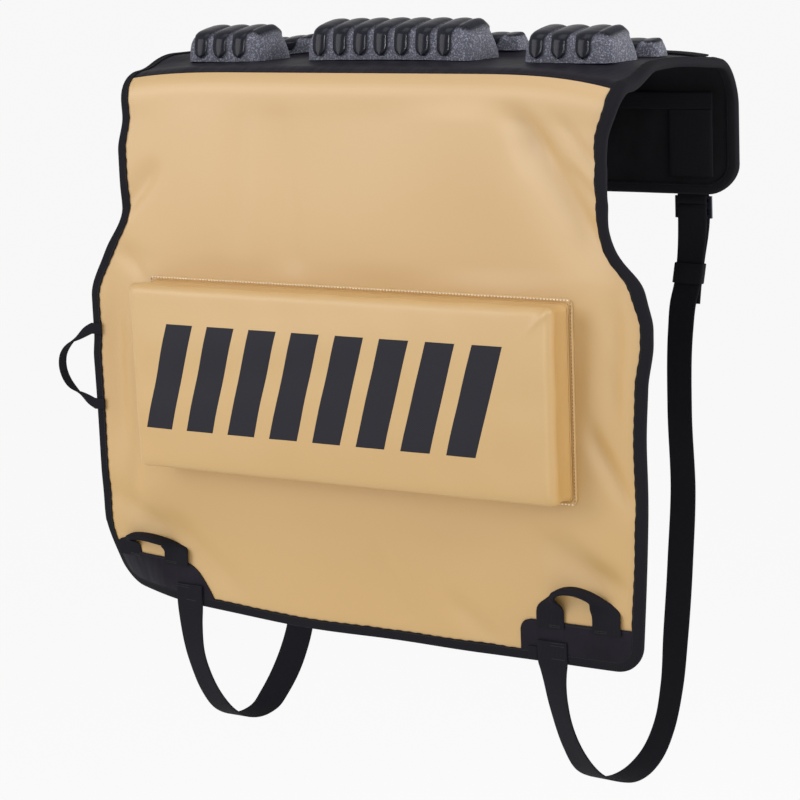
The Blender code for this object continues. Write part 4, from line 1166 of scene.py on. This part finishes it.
def add_strap(side, sign, route):
    node = f"strap_{side}"
    rows = [(*on_sheet(sign * STRAP_CENTRE, s, LIE), 0.0) for s in (0.026, 0.018, 0.010, 0.002)]
    for y, z, turn in (*route, *upper_route(sign * UPPER_TURN)):
        rows.append((rear_x(sign, z) if y > 0.05 else sign * STRAP_CENTRE, y, z, turn))
    path = spline(rows, 0.0022)
    path[:, 0] -= sign * 0.0015 * ease((-0.5 - path[:, 2]) / 0.1)
    edge = np.stack([np.cos(path[:, 3]), np.sin(path[:, 3]), 0 * path[:, 3]], -1)
    ribbon(node + "_webbing", path[:, :3], edge, STRAP_WIDTH, STRAP_THICKNESS, node)


add_strap("left", -1, LEFT_ROUTE)
add_strap("right", 1, RIGHT_ROUTE)

# %% [markdown]
# The hem's corners are reinforced with a patch of coated cloth, and each carries a grab
# handle. The handle is webbing sewn down flat at both feet. Between them it stands up
# off the panel, so that a hand can go under it.

# %% Corner patches
patch_low, patch_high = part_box("corner_patch_right")
PATCH_TOP = patch_high.z + FRONT_DROP
PATCH_ROUND = 0.014
UNDER_TAPE = TAPE_WIDTH - 0.0015
# How far the top of each patch leans outboard and how far it is drawn up
PATCH_MOVES = {"left": (0.041, 0.008), "right": (0.0, 0.0)}


def add_patch(side, sign):
    lean, rise = PATCH_MOVES[side]
    s = np.linspace(UNDER_TAPE, PATCH_TOP, 18)
    drop = np.clip(s - (PATCH_TOP - PATCH_ROUND), 0, PATCH_ROUND)
    inner = patch_low.x + PATCH_ROUND - np.sqrt(PATCH_ROUND**2 - drop**2) + lean * (s / PATCH_TOP) ** 1.3
    s = s + rise * ease(s / PATCH_TOP)
    share = np.linspace(0, 1, 34)
    x = sign * (inner[:, None] + (edge_at(s, UNDER_TAPE) - inner)[:, None] * share)
    rows = np.repeat(s[:, None], len(share), 1)
    base = PAD_OUT + GAP
    closed_sheet(
        f"corner_patch_{side}_cloth", on_sheet(x, rows, base + PATCH), on_sheet(x, rows, base),
        np.stack([x, rows], -1), dark_cloth, [f"corner_patch_{side}"], "black_tarpaulin",
    )


# %% Corner handles
HANDLE_WIDTH = 0.0355
HANDLE_THICKNESS = 0.0018
FOOT_LENGTH = 0.014
# Each handle: start, span, height of its feet, rise, standoff. The curl draws the left one out and up
HANDLES = {
    "left": (STRAP_CENTRE + 0.0168, 0.0700, 0.049, 0.0365, 0.014),
    "right": (STRAP_CENTRE - 0.0027, 0.0790, 0.041, 0.0485, 0.019),
}


def add_handle(side, sign):
    lie = LIE - STRAP_THICKNESS / 2 + HANDLE_THICKNESS / 2
    turn = np.linspace(0, 1, 44)
    rise = np.sin(math.pi * turn)
    start, span, foot_rise, handle_rise, standoff = HANDLES[side]
    x = start + span / 2 * (1 - np.cos(math.pi * turn))
    s = foot_rise + FOOT_LENGTH + (handle_rise - FOOT_LENGTH) * rise**0.85
    x, s, rise = with_feet(x, 0.0, 6), with_feet(s, -FOOT_LENGTH, 6), with_feet(rise, 0.0, 6)
    crown = ease(rise)
    centre = on_sheet(sign * x, s, lie)
    centre[:, 1] -= crown * rise * standoff
    flat = np.stack([sign * first_half(x), 0 * x, 0 * x], -1)
    edge = flat * (1 - crown)[:, None] + np.array([0, -1.0, 0]) * crown[:, None]
    rolled = ease((rise - 0.15) / 0.6)
    width = HANDLE_WIDTH * (1 - 0.50 * rolled)
    thick = HANDLE_THICKNESS * (1 + 2.7 * rolled)
    node = f"corner_handle_{side}"
    ribbon(node + "_webbing", centre, edge, width, thick, node)


for side, sign in SIDES:
    add_patch(side, sign)
    add_handle(side, sign)

# %% [markdown]
# The carry loop on the left edge is narrow webbing, with its feet on the binding. The
# buckle, its anchor and the elastic keeper are small, but each gets rounded edges and
# its own finish. The band on the top, the reinforcement in the flap and the pull tab
# are short flat ribbons.

# %% Carry loop
LOOP_WIDTH = 0.0135
LOOP_THICKNESS = 0.0018
LOOP_TOP = FRONT_DROP - 0.3085
LOOP_BOTTOM = FRONT_DROP - 0.4015
LOOP_REACH = 0.0415
LOOP_FOOT = 0.0145


def add_carry_loop():
    lie = PAD_OUT + 2 * GAP + TAPE + LOOP_THICKNESS / 2
    turn = np.linspace(0, math.pi, 48)
    fall = 0.4 * np.cos(turn) + 0.6 * (1 - 2 * turn / math.pi)
    s = (LOOP_TOP + LOOP_BOTTOM) / 2 + (LOOP_TOP - LOOP_BOTTOM) / 2 * fall
    x = -half_width(s) - LOOP_REACH * np.sin(turn)
    x, s, turn = with_feet(x, LOOP_FOOT, 4), with_feet(s, 0.0, 4), with_feet(turn, 0.0, 4)
    crown = ease(1.1 * np.sin(turn))
    centre = on_sheet(x, s, lie)
    centre[:, 1] -= crown * LOOP_WIDTH / 2
    edge = np.stack([0 * x, crown, first_half(x) * (1 - crown)], -1)
    ribbon("carry_loop_webbing", centre, edge, LOOP_WIDTH, LOOP_THICKNESS, "carry_loop")


add_carry_loop()


# %% Bands, flap patches and pull tab
def flat_band(node, along, across):
    """A flat band that fills the box of its node; along and across are axis numbers."""
    low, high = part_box(node)
    middle = (low + high) / 2
    thin = 3 - along - across
    steps = np.linspace(low[along], high[along], max(int((high[along] - low[along]) / 0.004), 4))
    centre = np.tile(np.array(middle), (len(steps), 1))
    centre[:, along] = steps
    edge = np.zeros((len(steps), 3))
    edge[:, across] = 1
    ribbon(node + "_band", centre, edge, high[across] - low[across], high[thin] - low[thin], node)


webbing_low, webbing_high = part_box("top_webbing")
band_x = np.linspace(webbing_low.x, webbing_high.x, 120)
band_s = (webbing_low.y + webbing_high.y) / 2 - FRONT_BEND + inner_face + TOP_START
band_offset = PAD_OUT + 2 * GAP + STRAP_THICKNESS / 2
band_edge = np.tile([0.0, 1.0, 0.0], (len(band_x), 1))
band_path = on_sheet(band_x, band_s, band_offset)
band_width = webbing_high.y - webbing_low.y
ribbon("top_webbing_band", band_path, band_edge, band_width, STRAP_THICKNESS, "top_webbing")
flat_band("flap_cross_webbing", 0, 2)
for node in ("flap_patch_left", "flap_patch_right", "pull_tab"):
    flat_band(node, 2, 0)


# %% Buckles, anchors and keepers
def bevelled_copy(node, material, width):
    """A rounded copy of a small hard node, which it replaces."""
    mesh = nodes[node].data.copy()
    mesh.name = node + "_moulding"
    with mended(mesh) as work:
        bmesh.ops.remove_doubles(work, verts=work.verts, dist=WELD)
        bmesh.ops.dissolve_limit(work, angle_limit=math.radians(1), verts=work.verts, edges=work.edges)
        sharp = [edge for edge in work.edges if len(edge.link_faces) == 2 and edge.calc_face_angle() > 0.5]
        bmesh.ops.bevel(work, geom=sharp, offset=width, segments=3, affect="EDGES", profile=0.6)
    mesh.materials.clear()
    mesh.materials.append(material)
    mesh.shade_smooth()
    piece = add_object(node + "_moulding", mesh)
    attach(piece, "root")
    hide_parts(node)


ANCHOR_SLACK = 0.0042
KEEPER_THICKNESS = 0.0011
KEEPER_ROUND = 0.0018


def add_keeper(side, sign):
    """An elastic band round both layers of the strap."""
    middle, half_height = (keeper_low.z + keeper_high.z) / 2, (keeper_high.z - keeper_low.z) / 2
    half_x, half_y = STRAP_WIDTH / 2 + 0.0012, STRAP_THICKNESS + 0.0010
    turn = sign * UPPER_TURN
    spin = np.array([[math.cos(turn), -math.sin(turn)], [math.sin(turn), math.cos(turn)]])
    section = [(0, -1), (0.7, -1), (1, -0.93), (1, 0.93), (0.7, 1), (0, 1)]
    rings = []
    for out, up in section:
        grow = out * KEEPER_THICKNESS
        loop = np.concatenate(round_corners(half_x + grow, half_y + grow, KEEPER_ROUND + grow, 5)) @ spin.T
        level = middle + up * half_height
        place = (rear_x(sign, level), BUCKLE_Y, level)
        rings.append(np.pad(loop, ((0, 0), (0, 1))) + place)
    rings = np.array(rings).transpose(1, 0, 2)
    run = np.stack(np.broadcast_arrays(rings[:, :, 2], rings[:, :, 0]), -1)
    node = f"strap_keeper_{side}"
    closed_rings(node + "_elastic", rings, run, elastic, [node], "black_webbing")


def add_anchor(side, sign):
    """Webbing sewn to the flap and folded round the buckle's top bar."""
    node = f"buckle_anchor_{side}"
    low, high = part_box(node)
    x = sign * (STRAP_CENTRE + REAR_OUTBOARD)
    near = low.y + STRAP_THICKNESS / 2
    far = near + STRAP_THICKNESS + GAP
    bar_z = buckle_high.z - BAR / 2 - ANCHOR_SLACK
    wrap = BUCKLE_Y - near
    path = [(x, near, high.z), (x, near, -FLAP_DROP + 4 * BAR), (x, near, -FLAP_DROP)]
    for a in np.linspace(0, math.pi, 12):
        path.append((x, BUCKLE_Y - wrap * math.cos(a), bar_z - wrap * math.sin(a)))
    path += [(x, far, -FLAP_DROP + 2 * BAR), (x, far, high.z - BAR)]
    rows = spline(path, 0.0012)
    edge = np.tile([1.0, 0.0, 0.0], (len(rows), 1))
    ribbon(node + "_webbing", rows, edge, STRAP_WIDTH, STRAP_THICKNESS, node)


for side, sign in SIDES:
    bevelled_copy(f"buckle_{side}", plastic, 0.0006)
    add_keeper(side, sign)
    add_anchor(side, sign)

# %% [markdown]
# Thread is real geometry here: short rounded stitches with small gaps between them.
# They lie a fraction of a millimetre proud of the cloth. A line of stitches takes its
# path and the direction that points out of the cloth.

# %% Stitches
STITCH_SIDES = 6
# Kinds of stitch: pitch, length and radius
FINE_STITCH = (0.0036, 0.0028, 0.00035)
LEVEL_STITCH = (0.0042, 0.0022, 0.0008)
SIDE_STITCH = (0.0040, 0.0030, 0.0005)
BAR_STITCH = (0.0020, 0.0017, 0.0004)


def stitch_line(points, outward, pitch, length, radius):
    """Points and faces of stitches along an open path."""
    pace = distance_along(points)
    starts = np.arange(pitch / 2, pace[-1] - pitch / 2, pitch)

    def at(distance, values):
        return np.stack([np.interp(distance, pace, values[:, axis]) for axis in range(3)], -1)

    middle, up = at(starts, points), at(starts, outward)
    along = unit(at(starts + length / 2, points) - at(starts - length / 2, points))
    side = unit(np.cross(along, up))
    vertices = []
    around = np.arange(STITCH_SIDES)
    for share, fat in ((-0.5, 0.35), (-0.32, 0.95), (0.32, 0.95), (0.5, 0.35)):
        for turn in around * 2 * math.pi / STITCH_SIDES:
            dip = -0.6 * radius * (abs(share) > 0.4)
            offset = side * (radius * fat * math.cos(turn)) + up * (radius * fat * math.sin(turn) + dip)
            vertices.append(middle + along * (share * length) + offset)
    vertices = np.stack(vertices, 1)
    first = np.arange(len(starts))[:, None] * vertices.shape[1] + around
    after = np.roll(first, -1, 1)
    faces = []
    wall = np.stack([first, after, after + STITCH_SIDES, first + STITCH_SIDES], -1).reshape(-1, 4)
    for ring in range(3):
        faces += (wall + ring * STITCH_SIDES).tolist()
    return vertices.reshape(-1, 3), faces + first.tolist() + (first[:, ::-1] + 3 * STITCH_SIDES).tolist()


def add_stitches(name, lines, material, pitch, length, radius, slot="black_webbing"):
    """One piece of thread over several lines, each (points, outward)."""
    points, faces = [], []
    for path, outward in lines:
        new_points, new_faces = stitch_line(np.asarray(path), np.asarray(outward), pitch, length, radius)
        shift = sum(len(p) for p in points)
        points.append(new_points)
        faces += [tuple(i + shift for i in face) for face in new_faces]
    finish_piece(name, np.concatenate(points), faces, None, material, (), slot)


def sheet_line(x, s, offset):
    """A line on the sheet and its outward directions."""
    path = on_sheet(x, s, offset)
    return path, on_sheet(x, s, np.asarray(offset) + 0.001) - path


def closed_outline_line(inset, offset):
    place = outline + outline_in * inset
    place = np.concatenate([place, place[:1]])
    return sheet_line(place[:, 0], place[:, 1], offset)


tape_out = PAD_OUT + GAP + TAPE
tape_front = closed_outline_line(TAPE_WIDTH - 0.0018, tape_out)
inside_path, inside_up = closed_outline_line(TAPE_WIDTH - 0.0018, -GAP - TAPE)
add_stitches("binding_thread", [tape_front, (inside_path, -inside_up)], black_thread, *FINE_STITCH)

seam_x = np.linspace(-NECK_HALF + 0.014, NECK_HALF - 0.014, 160)
seam_line = sheet_line(seam_x, np.full(160, SEAM + 0.0022), PAD_OUT)
add_stitches("seam_thread", [seam_line], black_thread, *FINE_STITCH)


# %% Stitches round the box, on the patches and on the webbing
def box_line(start, end):
    """A line on the welt between two places given as (x, z)."""
    share = np.linspace(0, 1, 60)[:, None]
    flat = np.array(start) * (1 - share) + np.array(end) * share
    path = np.stack([flat[:, 0], np.full(60, box_base - WELT_THICKNESS - 0.0001), flat[:, 1]], -1)
    return path, np.tile([0.0, -1.0, 0.0], (60, 1))


reach = 0.0034
left, right = -box_half - reach, box_half + reach
top, bottom = box_top + reach, box_bottom - reach
level_lines = [box_line((left, z), (right, z)) for z in (top, bottom)]
side_lines = [box_line((x, top), (x, bottom)) for x in (right, left)]
# The same thread all round the box: the top and bottom lines take the painted-light copy, the two side lines
# the painted-shade copy.
add_stitches("box_thread", level_lines, thread_painted_light, *LEVEL_STITCH, "yellow_tarpaulin")
add_stitches("box_side_thread", side_lines, thread_painted_shade, *SIDE_STITCH, "yellow_tarpaulin")

over_handle = LIE - STRAP_THICKNESS / 2 + HANDLE_THICKNESS
patch_lines, bar_lines = [], []
for side, sign in SIDES:
    start, span, foot_rise = HANDLES[side][:3]
    lean, rise = PATCH_MOVES[side]
    x = np.linspace(patch_low.x + 0.012 + lean, edge_at(PATCH_TOP, TAPE_WIDTH) - 0.002, 40)
    patch_lines.append(sheet_line(sign * x, np.full(40, PATCH_TOP + rise - 0.0025), PAD_OUT + GAP + PATCH))
    for s in (0.0245, 0.0215, 0.0065):
        x = np.linspace(STRAP_CENTRE - 0.017, STRAP_CENTRE + 0.017, 12)
        bar_lines.append(sheet_line(sign * x, np.full(12, s), LIE + STRAP_THICKNESS / 2))
    for middle in (start, start + span):
        for s in (foot_rise + 0.0015, foot_rise + 0.0035):
            x = np.linspace(middle - 0.015, middle + 0.015, 12)
            bar_lines.append(sheet_line(sign * x, np.full(12, s), over_handle))
add_stitches("patch_thread", patch_lines, black_thread, *FINE_STITCH)
add_stitches("bar_thread", bar_lines, black_thread, *BAR_STITCH)
